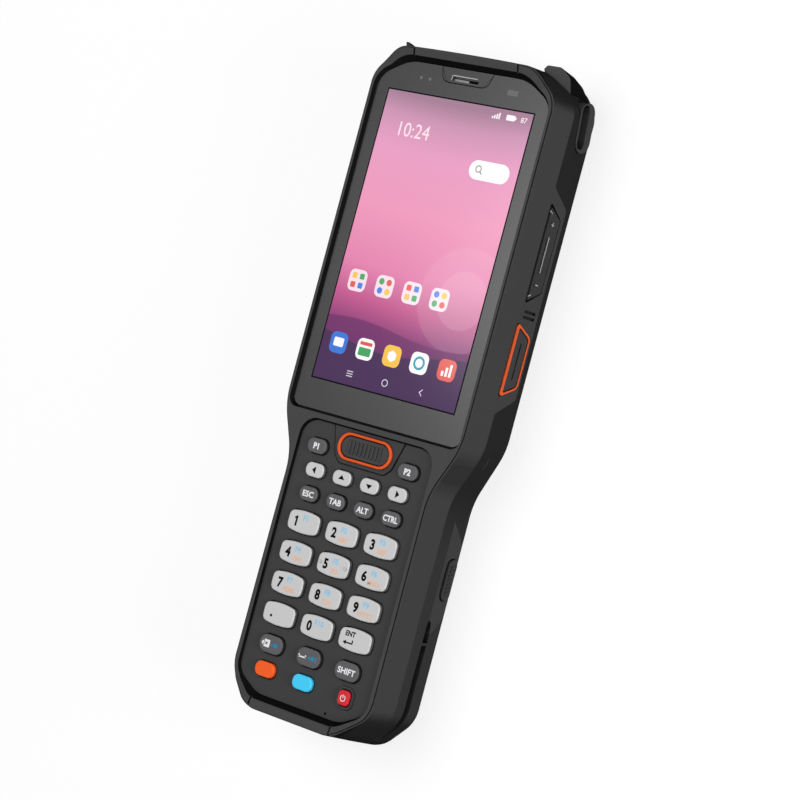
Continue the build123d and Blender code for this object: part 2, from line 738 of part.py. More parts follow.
def make_scan_key():
    """Ribbed scan key inside the ring, with its flange below the ring."""
    width = scan_hole_width - 2 * KEY_GAP
    height = scan_hole_height - 2 * KEY_GAP
    face_z = scan_ring_z - SCAN_KEY_DROP - SCAN_RIB_RISE
    key = slab(stadium(width, height), key_flange_top_z, face_z)
    for index in range(SCAN_RIB_COUNT):
        x = (index - (SCAN_RIB_COUNT - 1) / 2) * SCAN_RIB_PITCH
        outline = Pos(x, scan_y) * RectangleRounded(SCAN_RIB_WIDTH, SCAN_RIB_LENGTH, SCAN_RIB_WIDTH / 2.1)
        key += slab(outline, face_z, face_z + SCAN_RIB_RISE)
    lip = 2 * (KEY_GAP + KEY_FLANGE_LIP)
    key += slab(stadium(width + lip, height + lip), key_flange_back_z, key_flange_top_z)
    return key + disc(0, scan_y, KEY_FOOT_RADIUS, key_foot_z, key_flange_back_z)


def make_keypad_panel():
    """Panel that every key stands through, with the scan key's plateau and the power key's collar."""
    panel = slab(keypad_outline(), panel_seat_z, panel_face_z)
    foot_y = keypad_top_y - PLATEAU_HEIGHT
    right = [
        (PLATEAU_FOOT_WIDTH / 2, foot_y),
        (PLATEAU_LOWER_WIDTH / 2, foot_y + PLATEAU_FOOT),
        (PLATEAU_TOP_WIDTH / 2, keypad_top_y),
    ]
    plateau = rounded(both_sides(right), [1.5, 2.0, 0, 0, 2.0, 1.5])
    panel -= slab(offset(plateau, PLATEAU_GROOVE), panel_face_z - PLATEAU_GROOVE, far)
    panel += slab(plateau, panel_seat_z, panel_face_z + PLATEAU_RISE)
    for name, x, y, style in keys:
        if name == "power":
            collar = key_outline(style, KEY_GAP + POWER_COLLAR)
            panel += slab(Pos(x, y) * collar, panel_face_z, panel_face_z + COLLAR_RISE)
        panel -= slab(Pos(x, y) * key_outline(style, KEY_GAP), 0, far)
    panel -= slab(stadium(SCAN_RING_WIDTH + FIT, SCAN_RING_HEIGHT + FIT), 0, far)
    microphone_y = keypad_bottom_y + MICROPHONE_RISE
    return panel - disc(MICROPHONE_X, microphone_y, MICROPHONE_RADIUS, 0, far)


def make_keypad_board():
    """Board under the keys with one dome for each key."""
    width = keypad_width - 2 * KEYPAD_BOARD_SIDE
    high = keypad_top_y - KEYPAD_BOARD_TOP
    low = keypad_bottom_y + KEYPAD_BOARD_FOOT
    outline = Pos(0, (high + low) / 2) * RectangleRounded(width, high - low, KEYPAD_BOARD_CORNER)
    board = slab(outline, keypad_board_back_z, keypad_board_top_z)
    for x, y in [(x, y) for name, x, y, style in keys] + [(0, scan_y)]:
        board += disc(x, y, DOME_RADIUS, keypad_board_top_z, keypad_board_top_z + DOME_RISE)
    return board


# ---------------------------------------------------------------- screen parts
def earpiece_outline(grow=0.0):
    """Outline of the earpiece bezel let into the top edge of the glass."""
    high = glass_top_y
    low = glass_top_y - EARPIECE_DEPTH - grow
    right = [(EARPIECE_LOWER_WIDTH / 2 + grow, low), (EARPIECE_TOP_WIDTH / 2 + grow, high)]
    return rounded(both_sides(right), [1.2, 0, 0, 1.2])


def earpiece_slot(grow=0.0):
    """Outline of the slot that the earpiece sounds through."""
    y = glass_top_y - EARPIECE_SLOT_DROP
    height = EARPIECE_SLOT_HEIGHT + 2 * grow
    return Pos(0, y) * RectangleRounded(EARPIECE_SLOT_WIDTH + 2 * grow, height, height / 2.1)


def make_glass():
    """Cover glass with the notch for the earpiece."""
    glass = slab(glass_outline(), glass_seat_z, glass_face_z)
    return glass - slab(earpiece_outline(FIT), 0, far)


def display_span(grow=0.0):
    """Half width, low Y and high Y of the display module, grown all round."""
    half = SCREEN_WIDTH / 2 + DISPLAY_BORDER + grow
    reach = SCREEN_LENGTH / 2 + DISPLAY_BORDER + grow
    return half, screen_y - reach, screen_y + reach


def make_display():
    """Display module bonded to the back of the glass."""
    half, low, high = display_span()
    return block((-half, half), (low, high), (display_back_z, glass_seat_z))


frame_half = head_half - SIDE_WALL - FRAME_GAP
board_half = frame_half - BOARD_MARGIN


def make_display_frame():
    """Inner carrier below the display, with standoffs for the main board."""
    high = glass_top_y - FRAME_TOP_DROP
    low = glass_bottom_y + FRAME_FOOT_RISE
    half = frame_half
    frame = block((-half, half), (low, high), (frame_back_z, cavity_top_z))
    display_half, display_low, display_high = display_span(FIT)
    frame -= block((-display_half, display_half), (display_low, display_high), (display_back_z, far))
    for x, y in standoff_places():
        frame += disc(x, y, STANDOFF_RADIUS, main_board_top_z, frame_back_z)
    return frame


engine_front_y = top_y - end_wall - ENGINE_GAP
engine_back_y = engine_front_y - ENGINE_LENGTH
main_board_high_y = engine_back_y - 3.0
main_board_low_y = glass_bottom_y + FRAME_FOOT_RISE + 1.0


def standoff_places():
    """Centres of the standoffs between the frame and the main board."""
    inset = 2 * STANDOFF_RADIUS
    x = board_half - inset
    return [(side * x, y) for side in (-1, 1) for y in (main_board_low_y + inset, main_board_high_y - inset)]


def make_main_board():
    """Main board with its shielded circuits on the back."""
    half = board_half
    board = block((-half, half), (main_board_low_y, main_board_high_y), (main_board_back_z, main_board_top_z))
    length = main_board_high_y - main_board_low_y
    for x, share, width, depth in ((-11, 0.25, 20, 22), (11, 0.3, 18, 18), (0, 0.72, 26, 16)):
        y = main_board_low_y + share * length
        can = Box(width, depth, CHIP_HEIGHT)
        board += Pos(x, y, main_board_back_z - CHIP_HEIGHT / 2) * can
    return board


def make_scan_engine():
    """Barcode imager with its lens and aiming light looking out of the end."""
    half = ENGINE_WIDTH / 2
    engine = block((-half, half), (engine_back_y, engine_front_y), (engine_base_z, engine_top_z))
    middle_z = (engine_base_z + engine_top_z) / 2
    for x, radius in ((-5.5, ENGINE_LENS_RADIUS), (5.5, ENGINE_LENS_RADIUS * 0.7)):
        well = Pos(x, engine_front_y, middle_z) * Rot(90, 0, 0) * Cylinder(radius, 4)
        lens = Pos(x, engine_front_y - 1.5, middle_z) * Rot(90, 0, 0) * Cylinder(radius, 1.5)
        engine = engine - well + lens
    return engine


# ---------------------------------------------------------------- ends
def cap_block(half, edge_y, gap=0.0):
    """Space taken by an end cap: everything past an edge, between the two seams."""
    y = (edge_y - gap, far) if edge_y > 0 else (-far, edge_y + gap)
    return block((-half - gap, half + gap), y, (CAP_BASE - gap, far))


top_cap_edge_y = glass_top_y + 2 * FIT
bottom_cap_edge_y = keypad_bottom_y - 2 * FIT
window_face_y = top_y - WINDOW_SINK
port_z = keypad_board_back_z - PORT_HEIGHT / 2
port_face_y = bottom_y + PORT_SINK
contact_face_y = bottom_y - tan(lean) * (parting_z - CONTACT_Z) + CONTACT_SINK


def make_scan_window():
    """Clear window let into the scanning end."""
    half = WINDOW_WIDTH / 2
    y = (window_face_y - WINDOW_THICKNESS, window_face_y)
    window = block((-half, half), y, (window_low_z, window_high_z))
    return fillet(window.edges().filter_by(Axis.Y), 1.0)


def window_opening():
    """Rebate for the scan window and the sight hole behind it."""
    half = WINDOW_WIDTH / 2 + FIT
    low, high = window_low_z - FIT, window_high_z + FIT
    rebate = block((-half, half), (window_face_y - WINDOW_THICKNESS, far), (low, high))
    rebate = fillet(rebate.edges().filter_by(Axis.Y), 1.0)
    half -= WINDOW_LIP
    sight = block((-half, half), (engine_front_y, far), (low + WINDOW_LIP, high - WINDOW_LIP))
    return rebate + sight


def port_outline(grow, width=PORT_WIDTH, height=PORT_HEIGHT):
    """Rounded mouth of the port, facing along Y."""
    rounding = (height + 2 * grow) / 2.05
    return Plane.XZ * Pos(0, port_z) * RectangleRounded(width + 2 * grow, height + 2 * grow, rounding)


def port_prism(grow, near, deep):
    """Port outline carried along Y from one place to another."""
    outline = port_outline(grow)
    return Pos(0, near, 0) * extrude(outline, amount=-(deep - near))


def make_port():
    """Metal shell of the port with its tongue."""
    back_y = port_face_y + PORT_LENGTH
    shell = port_prism(0, port_face_y, back_y) - port_prism(-PORT_WALL, port_face_y, back_y - 1.5)
    tongue_half = PORT_WIDTH / 2 - 4 * PORT_WALL
    z = (port_z - PORT_TONGUE / 2, port_z + PORT_TONGUE / 2)
    return shell + block((-tongue_half, tongue_half), (port_face_y + 1, back_y - 1.5), z)


def contact_pads(grow=0.0):
    """Row of charging pads on the lower end face."""
    pads = None
    for index in range(CONTACT_COUNT):
        x = (index - (CONTACT_COUNT - 1) / 2) * CONTACT_PITCH
        half = CONTACT_WIDTH / 2 + grow
        z = (CONTACT_Z - CONTACT_HEIGHT / 2 - grow, CONTACT_Z + CONTACT_HEIGHT / 2 + grow)
        low_y = -far if grow else contact_face_y
        pad = block((x - half, x + half), (low_y, contact_face_y + CONTACT_THICKNESS), z)
        pads = pad if pads is None else pads + pad
    return pads


ear_inner = head_half - EAR_INNER_INSET


def ear_outline():
    """Plan view of the ear that fills the right-hand corner of the scanning end."""
    high = top_y + EAR_REACH
    low = high - EAR_DEPTH
    side = head_half - EAR_SIDE_INSET
    points = [
        (ear_inner, low),
        (side - EAR_SIDE_SLIP, low),
        (side, high - EAR_CORNER_ALONG),
        (side - EAR_CORNER_ACROSS, high),
        (ear_inner + EAR_INNER_ACROSS, high - EAR_INNER_DROP),
        (ear_inner, high - EAR_INNER_ALONG),
    ]
    return rounded(points, [0, 0, EAR_CORNER_RADIUS, EAR_CORNER_RADIUS, EAR_INNER_RADIUS, 0])


def make_ear(envelope):
    """Right-hand ear, leaning over its back, with a front face that falls towards the side."""
    high = top_y + EAR_REACH
    slope, across = radians(EAR_FACE_SLOPE), radians(45)
    fall = (sin(slope) * sin(across), -sin(slope) * cos(across), cos(slope))
    front = Plane((ear_inner, high - EAR_INNER_ALONG, EAR_FACE_HEIGHT), z_dir=fall)
    rise = radians(EAR_BACK_SLOPE)
    back = Plane((0, high - EAR_CORNER_ALONG, EAR_BACK_HEIGHT), z_dir=(0, sin(rise), -cos(rise)))
    lean = tan(radians(EAR_LEAN))
    foot = Pos(0, -lean * (EAR_PEAK_HEIGHT - EAR_BASE), EAR_BASE) * ear_outline()
    ear = extrude(foot, amount=rim_z - EAR_BASE, dir=(0, lean, 1))
    for face in (front, back):
        ear = split(ear, bisect_by=face, keep=Keep.BOTTOM)
    return ear - envelope


# ---------------------------------------------------------------- strap lugs, guides and scoops
lug_top_y = top_y - LUG_TOP_DROP
lug_middle_y = lug_top_y - LUG_LENGTH / 2


def lug_outline(width, length, shift=0.0):
    """Upright oval of the strap lug, leaning towards the screen at its top."""
    shape = RectangleRounded(width, length, width / 2.05)
    return Pos(lug_middle_y, LUG_CENTRE + shift) * Rot(0, 0, 90 + LUG_TILT) * shape


def lug_face_x():
    """Distance of the housing's side from the middle at the lug's height."""
    return head_half - tan(radians(SIDE_DRAFT)) * (parting_z - LUG_CENTRE)


def make_lug():
    """Raised oval of the strap lug, right-hand side."""
    return side_prism(lug_outline(LUG_WIDTH, LUG_LENGTH), lug_face_x() - LUG_ROOT, lug_face_x() + LUG_RISE)


def lug_slot():
    """Slot in the strap lug, open towards the scanning end."""
    slot = lug_outline(LUG_SLOT_WIDTH, LUG_LENGTH - 2 * LUG_END_RIM, LUG_SLOT_SHIFT)
    return side_prism(slot, lug_face_x() - LUG_SLOT_DEPTH, far)


def make_pod():
    """Flush block on the right-hand side that carries the side controls."""
    high = parting_z
    low = parting_z - POD_DEPTH
    top = volume_y + VOLUME_LONG / 2 + POD_TOP_MARGIN
    foot = trigger_y - TRIGGER_LONG / 2 - POD_FOOT_MARGIN
    points = [(top, high), (top - POD_SLANT, low), (foot + POD_SLANT, low), (foot, high)]
    return side_prism(rounded(points, [0, 1.5, 1.5, 0]), head_half - 2 * SIDE_WALL, head_half)


def rib_grooves():
    """Two short grooves between the volume rocker and the trigger."""
    grooves = None
    middle = (volume_y - VOLUME_LONG / 2 + trigger_y + TRIGGER_LONG / 2) / 2
    high = parting_z - RIB_GROOVE_DROP
    for side in (-1, 1):
        y = middle + side * RIB_GROOVE_PITCH / 2
        groove = block(
            (head_half - RIB_GROOVE_DEPTH, far),
            (y - RIB_GROOVE_WIDTH / 2, y + RIB_GROOVE_WIDTH / 2),
            (high - RIB_GROOVE_LENGTH, high),
        )
        grooves = groove if grooves is None else grooves + groove
    return grooves


def handle_face_x(z):
    """Distance of the handle's side from the middle at a height on the back half."""
    draw = tan(radians(SIDE_DRAFT)) * parting_z - HANDLE_BACK_GAIN
    return handle_half - draw * (parting_z - z) / parting_z


def guide_groove():
    """Slots along both sides of the handle that guide it into a cradle."""
    start = keypad_top_y - GUIDE_TOP_DROP
    low, high = GUIDE_Z - GUIDE_WIDTH / 2, GUIDE_Z + GUIDE_WIDTH / 2
    face = handle_face_x(GUIDE_Z)
    band = block((-far, far), (-far, start - GUIDE_WIDTH / 2), (low, high))
    band += side_disc(start - GUIDE_WIDTH / 2, GUIDE_Z, GUIDE_WIDTH / 2, -far, far)
    core = slab(body_outline(handle_half - face + GUIDE_DEPTH, 0, -2 * foot_reach), 0, far)
    rib_y = start - GUIDE_RIB_DROP
    rib = block((-far, far), (rib_y - GUIDE_RIB_WIDTH / 2, rib_y + GUIDE_RIB_WIDTH / 2), (0, far))
    return band - core - rib


latch_y = keypad_top_y - LATCH_DROP - LATCH_LENGTH / 2


def scoop():
    """Shallow hollow for the finger round the right-hand latch."""
    radius = (SCOOP_LENGTH ** 2 / 4 + SCOOP_DEPTH ** 2) / (2 * SCOOP_DEPTH)
    return disc(handle_face_x(LATCH_Z) - SCOOP_DEPTH + radius, latch_y, radius, -1, SCOOP_TOP)


def latch_outline(grow=0.0):
    """Oval of the battery latch, in Y and Z."""
    height = LATCH_HEIGHT + 2 * grow
    return Pos(latch_y, LATCH_Z) * RectangleRounded(LATCH_LENGTH + 2 * grow, height, height / 2.05)


def make_latch():
    """Right-hand battery latch with its finger ribs."""
    inner = battery_width / 2 + LATCH_TRAVEL + LATCH_BATTERY_GAP
    outer = handle_face_x(LATCH_Z) + LATCH_RISE - LATCH_RIB_RISE
    latch = side_prism(latch_outline(), inner, outer)
    latch = fillet(latch.faces().sort_by(Axis.X)[-1].edges(), LATCH_EDGE_RADIUS)
    for index in range(LATCH_RIB_COUNT):
        y = latch_y + (index - (LATCH_RIB_COUNT - 1) / 2) * LATCH_RIB_PITCH
        z = (LATCH_Z - LATCH_HEIGHT / 2 + LATCH_RIB_INSET, LATCH_Z + LATCH_HEIGHT / 2 - LATCH_RIB_INSET)
        latch += block((outer, outer + LATCH_RIB_RISE), (y - LATCH_RIB_WIDTH / 2, y + LATCH_RIB_WIDTH / 2), z)
    return latch


# ---------------------------------------------------------------- battery
battery_low_y = bottom_y + BATTERY_FOOT
battery_y = battery_low_y + BATTERY_LENGTH / 2


def battery_outline(grow=0.0):
    """Outline of the battery pack."""
    corner = BATTERY_CORNER + grow
    return Pos(0, battery_y) * RectangleRounded(battery_width + 2 * grow, BATTERY_LENGTH + 2 * grow, corner)


def make_battery():
    """Battery pack with the finger grooves on its outer face."""
    battery = slab(battery_outline(), 0, battery_depth)
    battery = fillet(battery.faces().sort_by(Axis.Z)[0].edges(), BATTERY_EDGE_RADIUS)
    for index in range(BATTERY_GRIP_COUNT):
        y = battery_y + BATTERY_LENGTH / 2 - BATTERY_GRIP_DROP - index * BATTERY_GRIP_PITCH
        shape = Pos(0, y) * RectangleRounded(BATTERY_GRIP_LENGTH, BATTERY_GRIP_WIDTH, BATTERY_GRIP_WIDTH / 2.1)
        battery -= slab(shape, -1, BATTERY_GRIP_DEPTH)
    return battery


# ---------------------------------------------------------------- screws
screw_places = [
    (side * (head_half - SCREW_INSET), y)
    for side in (-1, 1)
    for y in (top_y - SCREW_TOP_DROP, glass_bottom_y + SCREW_FOOT_RISE)
]


def make_screws():
    """Housing screws, heads towards the back."""
    screws = None
    for x, y in screw_places:
        head_top = SCREW_SINK + SCREW_HEAD_HEIGHT
        screw = disc(x, y, SCREW_HEAD_RADIUS, SCREW_SINK, head_top)
        screw += disc(x, y, SCREW_RADIUS, head_top, parting_z + SCREW_BITE)
        socket = slab(Pos(x, y) * RegularPolygon(SCREW_SOCKET_RADIUS, 6), 0, SCREW_SINK + SCREW_SOCKET_DEPTH)
        screw -= socket
        screws = screw if screws is None else screws + screw
    return screws


def screw_holes():
    """Counterbored holes for the housing screws."""
    holes = None
    for x, y in screw_places:
        hole = disc(x, y, SCREW_HEAD_RADIUS + SCREW_PLAY, -1, SCREW_SINK + SCREW_HEAD_HEIGHT)
        hole += disc(x, y, SCREW_RADIUS + SCREW_PLAY, 0, parting_z + SCREW_BITE + SCREW_PLAY)
        holes = hole if holes is None else holes + hole
    return holes


def screw_bosses(low, high, clip):
    """Bosses round the screws between two heights, kept inside the housing."""
    bosses = None
    for x, y in screw_places:
        boss = disc(x, y, BOSS_RADIUS, low, high)
        bosses = boss if bosses is None else bosses + boss
    return bosses & clip


# ---------------------------------------------------------------- camera and loudspeaker
camera_y = top_y - CAMERA_DROP
speaker_y = top_y - SPEAKER_DROP


def make_camera():
    """Rear camera: window, barrel and block in one module."""
    camera = disc(0, camera_y, CAMERA_WINDOW_RADIUS - FIT, CAMERA_SINK, CAMERA_SINK + CAMERA_WINDOW_THICKNESS)
    camera += disc(0, camera_y, CAMERA_BARREL_RADIUS, CAMERA_SINK, CAMERA_HEIGHT)
    half = CAMERA_BLOCK / 2
    return camera + block((-half, half), (camera_y - half, camera_y + half), (FLOOR, CAMERA_HEIGHT))


def camera_opening():
    """Stepped hole in the back for the rear camera."""
    window = disc(0, camera_y, CAMERA_WINDOW_RADIUS, -1, CAMERA_SINK + CAMERA_WINDOW_THICKNESS)
    return window + disc(0, camera_y, CAMERA_BARREL_RADIUS + FIT, -1, FLOOR)


def speaker_slots():
    """Sound slots through the back, below the loudspeaker."""
    slots = None
    for index in range(SPEAKER_SLOTS):
        y = speaker_y + (index - (SPEAKER_SLOTS - 1) / 2) * SPEAKER_SLOT_PITCH
        shape = Pos(0, y) * RectangleRounded(SPEAKER_SLOT_LENGTH, SPEAKER_SLOT_WIDTH, SPEAKER_SLOT_WIDTH / 2.1)
        slot = slab(shape, -1, FLOOR)
        slots = slot if slots is None else slots + slot
    return slots


def make_speaker():
    """Loudspeaker lying on the inside of the back."""
    half, reach = SPEAKER_WIDTH / 2, SPEAKER_LENGTH / 2
    speaker = block((-half, half), (speaker_y - reach, speaker_y + reach), (FLOOR, FLOOR + SPEAKER_HEIGHT))
    return fillet(speaker.edges().filter_by(Axis.Z), 2.0)


# ---------------------------------------------------------------- housing
def inner_outline():
    """Inside of the housing walls at the parting level."""
    return body_outline(SIDE_WALL, end_wall, end_wall)


def make_front(envelope):
    """Front half of the housing before the end caps are parted from it."""
    cavity = slab(inner_outline(), parting_z, cavity_top_z)
    bosses = screw_bosses(parting_z, cavity_top_z, slab(body_outline(SIDE_WALL / 2, SIDE_WALL / 2, SIDE_WALL), 0, far))
    half, low, high = display_span(2 * FIT)
    display_hole = block((-half, half), (low, high), (cavity_top_z, far))
    key_hole = slab(keypad_outline(-SHELF, -SHELF, -SHELF), cavity_top_z, panel_seat_z)
    front = envelope - cavity + bosses
    for cut in (glass_pocket(), keypad_pocket(), display_hole, key_hole, screw_holes()):
        front -= cut
    return front - pair(trigger_pocket())


def make_back(envelope):
    """Rear half of the housing before the end caps are parted from it."""
    start = Pos(0, 0, parting_z) * inner_outline()
    cavity = extrude(start, amount=-(parting_z - FLOOR), taper=SIDE_DRAFT)
    engine_room = ENGINE_WIDTH / 2 + 2 * ENGINE_GAP
    cavity += block(
        (-engine_room, engine_room),
        (engine_back_y, engine_front_y + ENGINE_GAP),
        (engine_base_z - 2 * ENGINE_GAP, parting_z),
    )
    bay_wall_y = battery_y + BATTERY_LENGTH / 2 + BATTERY_GAP + SIDE_WALL
    cavity -= block((-far, far), (-far, bay_wall_y), (-1, bay_top_z))
    back = envelope + pair(make_pod())
    back -= cavity
    back += screw_bosses(FLOOR, parting_z, slab(body_outline(2 * SIDE_WALL, SIDE_WALL, SIDE_WALL), 0, far))
    back += pair(make_lug())
    for x in (-ENGINE_WIDTH / 3, ENGINE_WIDTH / 3):
        y = (engine_front_y + engine_back_y) / 2
        back += disc(x, y, POST_RADIUS, FLOOR, engine_base_z)
    for x in (-digit_column / 2, digit_column / 2):
        for y in (keypad_top_y - BOARD_POST_TOP, keypad_bottom_y + BOARD_POST_FOOT):
            back += disc(x, y, POST_RADIUS, bay_top_z, keypad_board_back_z)
    back -= pair(lug_slot())
    back -= slab(battery_outline(BATTERY_GAP), -1, bay_roof_z)
    back -= pair(side_prism(latch_outline(LATCH_GAP), battery_width / 2 - 1, far))
    back -= pair(scoop())
    for cut in (guide_groove(), screw_holes(), camera_opening(), speaker_slots()):
        back -= cut
    back -= pair(trigger_pocket() + trigger_room())
    back -= pair(rib_grooves())
    return back - volume_pocket()


def seams(envelope):
    """Fine grooves that mark the end caps on the outside of the housing."""
    skin = envelope - (front_envelope(SEAM_DEPTH) + back_envelope(SEAM_DEPTH))
    grooves = None
    spots = ((TOP_CAP_WIDTH / 2, top_cap_edge_y), (BOTTOM_CAP_WIDTH / 2, bottom_cap_edge_y))
    for half, edge_y in spots:
        for side in (-1, 1):
            x = (side * half - SEAM_WIDTH / 2, side * half + SEAM_WIDTH / 2)
            y = (edge_y, far) if edge_y > 0 else (-far, edge_y)
            strip = block(x, y, (CAP_BASE, far))
            grooves = strip if grooves is None else grooves + strip
    return grooves & skin


def make_trigger_ring():
    """Right-hand trigger ring, slightly proud of the pod."""
    outer = side_prism(trigger_outline(), trigger_seat_x, head_half + TRIGGER_RING_RISE)
    return outer - side_prism(trigger_outline(*trigger_hole, radius=0.5), 0, far)


def make_trigger():
    """Right-hand trigger with its flange behind the wall and a groove on its face."""
    face_x = head_half + TRIGGER_RISE
    trigger = side_prism(trigger_outline(*trigger_insert, radius=0.4), trigger_wall_x - TRIGGER_FLANGE, face_x)
    wide = [inset - TRIGGER_FLANGE_LIP for inset in trigger_hole]
    flange_x = trigger_wall_x - TRIGGER_GAP
    trigger += side_prism(trigger_outline(*wide), flange_x - TRIGGER_FLANGE, flange_x)
    middle_z = (trigger_high_z - TRIGGER_RING_FRONT_WALL + trigger_low_z + TRIGGER_RING_WALL) / 2
    y = (trigger_y - TRIGGER_GROOVE_LENGTH / 2, trigger_y + TRIGGER_GROOVE_LENGTH / 2)
    z = (middle_z - TRIGGER_GROOVE / 2, middle_z + TRIGGER_GROOVE / 2)
    return trigger - block((face_x - TRIGGER_GROOVE / 2, far), y, z)


def make_volume():
    """Volume rocker: slanting plate, ridge, a raised plus and minus, and two stems."""
    face_x = head_half - VOLUME_SINK
    back_x = face_x - VOLUME_PLATE
    outline = Pos(0, -VOLUME_SHIFT) * volume_outline(VOLUME_GAP, VOLUME_FRONT_GAP)
    rocker = side_prism(outline, back_x, face_x)
    wedge = [
        (face_x, volume_low_z),
        (far, volume_low_z),
        (far, volume_high_z),
        (face_x - VOLUME_SLANT, volume_high_z),
    ]
    rocker -= extrude(Plane.XZ * make_face(Polyline(*wedge, close=True)), amount=far, both=True)
    middle_x = face_x - VOLUME_SLANT / 2

    def raised(y, along, across):
        x = (middle_x - MARK_RISE, middle_x + MARK_RISE)
        return block(x, (y - along / 2, y + along / 2), (volume_z - across / 2, volume_z + across / 2))

    reach = VOLUME_MARK_SPACING / 2
    rocker += raised(volume_y, VOLUME_RIDGE_LENGTH, VOLUME_RIDGE_WIDTH)
    rocker += raised(volume_y + reach, VOLUME_MARK_LENGTH, VOLUME_MARK_WIDTH)
    rocker += raised(volume_y + reach, VOLUME_MARK_WIDTH, VOLUME_MARK_LENGTH)
    rocker += raised(volume_y - reach, VOLUME_MARK_WIDTH, VOLUME_MARK_LENGTH)
    for side in (-1, 1):
        stem_y = volume_y + side * VOLUME_STEM_SPACING / 2
        rocker += side_disc(stem_y, volume_z, VOLUME_STEM_RADIUS, back_x - VOLUME_STEM_LENGTH, back_x)
    return rocker


# ---------------------------------------------------------------- assembly
def build():
    """Every piece of the terminal by name."""
    pieces = {}
    front_form, back_form = front_envelope(), back_envelope()
    envelope = front_form + back_form
    front, back, grooves = make_front(front_form), make_back(back_form), seams(envelope)
    top_space = cap_block(TOP_CAP_WIDTH / 2, top_cap_edge_y)
    bottom_space = cap_block(BOTTOM_CAP_WIDTH / 2, bottom_cap_edge_y)
    spaces = cap_block(TOP_CAP_WIDTH / 2, top_cap_edge_y, CAP_GAP)
    spaces += cap_block(BOTTOM_CAP_WIDTH / 2, bottom_cap_edge_y, CAP_GAP)
    housing = front + back
    top_cap = (housing & top_space) - grooves - window_opening()
    bottom_cap = (housing & bottom_space) - grooves - contact_pads(FIT)
    bottom_cap -= port_prism(FIT, bottom_y - 5, port_face_y + PORT_LENGTH)
    pieces["front_cover"] = front - spaces - grooves - rim_step()
    pieces["rear_cover"] = back - spaces - grooves
    pieces["top_end_cap"] = top_cap
    pieces["bottom_end_cap"] = bottom_cap
    ear = make_ear(envelope + pair(make_lug()))
    pieces["corner_bumper_right"] = ear
    pieces["corner_bumper_left"] = flipped(ear)
    pieces["housing_screws"] = make_screws()

    pieces["touch_glass"] = make_glass()
    pieces["display_panel"] = make_display()
    pieces["display_frame"] = make_display_frame()
    earpiece = slab(earpiece_outline(), glass_seat_z, glass_face_z)
    pieces["earpiece_bezel"] = earpiece - slab(earpiece_slot(), 0, far)
    mesh_low = glass_seat_z + MESH_THICKNESS
    pieces["earpiece_mesh"] = slab(earpiece_slot(-FIT / 2), glass_seat_z, mesh_low)

    pieces["keypad_panel"] = make_keypad_panel()
    pieces["keypad_board"] = make_keypad_board()
    pieces["scan_key_ring"] = make_scan_ring()
    pieces["scan_key"] = make_scan_key()
    for name, x, y, style in keys:
        key = key_solid(x, y, style)
        if name == "5":
            face_z = panel_face_z + KEY_RISE
            for side in (-1, 1):
                key += disc(x + side * MARK_COLUMN, y, MARK_RADIUS, face_z, face_z + MARK_RISE)
        pieces["key_" + name] = key

    ring, trigger, latch = make_trigger_ring(), make_trigger(), make_latch()
    pieces["trigger_ring_right"] = ring
    pieces["trigger_ring_left"] = flipped(ring)
    pieces["side_trigger_right"] = trigger
    pieces["side_trigger_left"] = flipped(trigger)
    pieces["volume_rocker"] = make_volume()
    pieces["battery_latch_right"] = latch
    pieces["battery_latch_left"] = flipped(latch)
    pieces["battery_pack"] = make_battery()

    pieces["main_board"] = make_main_board()
    pieces["scan_engine"] = make_scan_engine()
    pieces["scan_window"] = make_scan_window()
    pieces["camera_module"] = make_camera()
    pieces["loudspeaker"] = make_speaker()
    pieces["port_connector"] = make_port()
    pieces["charge_contacts"] = contact_pads()
    return pieces


os.makedirs("parts", exist_ok=True)
for node, shape in build().items():
    export_step(shape, f"parts/{node}.step")
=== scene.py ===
"""Dresses the handheld data terminal: finishes with painted light and shade, screen picture, key legends,
painted highlights and small trim.
"""

import logging
import math
from collections.abc import Callable, Iterable
from dataclasses import dataclass, field, replace
from enum import Enum

import bpy
from bpy.types import Material, Node, NodeSocket, NodeTree, Object
from mathutils import Matrix, Vector

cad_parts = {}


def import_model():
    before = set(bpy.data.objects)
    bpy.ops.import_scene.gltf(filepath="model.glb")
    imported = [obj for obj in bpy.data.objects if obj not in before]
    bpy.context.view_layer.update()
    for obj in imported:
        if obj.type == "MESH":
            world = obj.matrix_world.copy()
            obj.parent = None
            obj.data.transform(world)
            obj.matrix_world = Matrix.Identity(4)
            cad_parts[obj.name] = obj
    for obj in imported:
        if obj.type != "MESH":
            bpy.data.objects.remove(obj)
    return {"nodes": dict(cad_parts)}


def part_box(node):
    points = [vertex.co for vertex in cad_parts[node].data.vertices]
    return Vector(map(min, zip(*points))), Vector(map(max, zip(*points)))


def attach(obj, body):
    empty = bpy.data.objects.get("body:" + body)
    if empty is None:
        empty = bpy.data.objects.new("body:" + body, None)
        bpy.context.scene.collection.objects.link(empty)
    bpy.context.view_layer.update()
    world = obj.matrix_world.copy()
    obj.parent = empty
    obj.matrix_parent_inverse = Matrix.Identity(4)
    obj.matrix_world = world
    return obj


LOG = logging.getLogger("terminal")
MM = 0.001
BODY = "terminal"

Colour = tuple[float, float, float]
Place = tuple[float, float, float]
Point = tuple[float, float]


class Slot(Enum):
    """Names of material slots of the record; no piece here takes its finish from them."""

    BEZEL = "bezel"
    SCREEN = "screen"
    STEEL = "steel"


def linear(red: int, green: int, blue: int) -> Colour:
    """Turn an 8-bit screen colour into the linear values that a shader takes.

    Args:
        red: Red from 0 to 255.
        green: Green from 0 to 255.
        blue: Blue from 0 to 255.

    Returns:
        The three linear values.
    """
    def channel(value: int) -> float:
        """One channel."""
        share = value / 255
        return share / 12.92 if share <= 0.04045 else ((share + 0.055) / 1.055) ** 2.4
    return channel(red), channel(green), channel(blue)


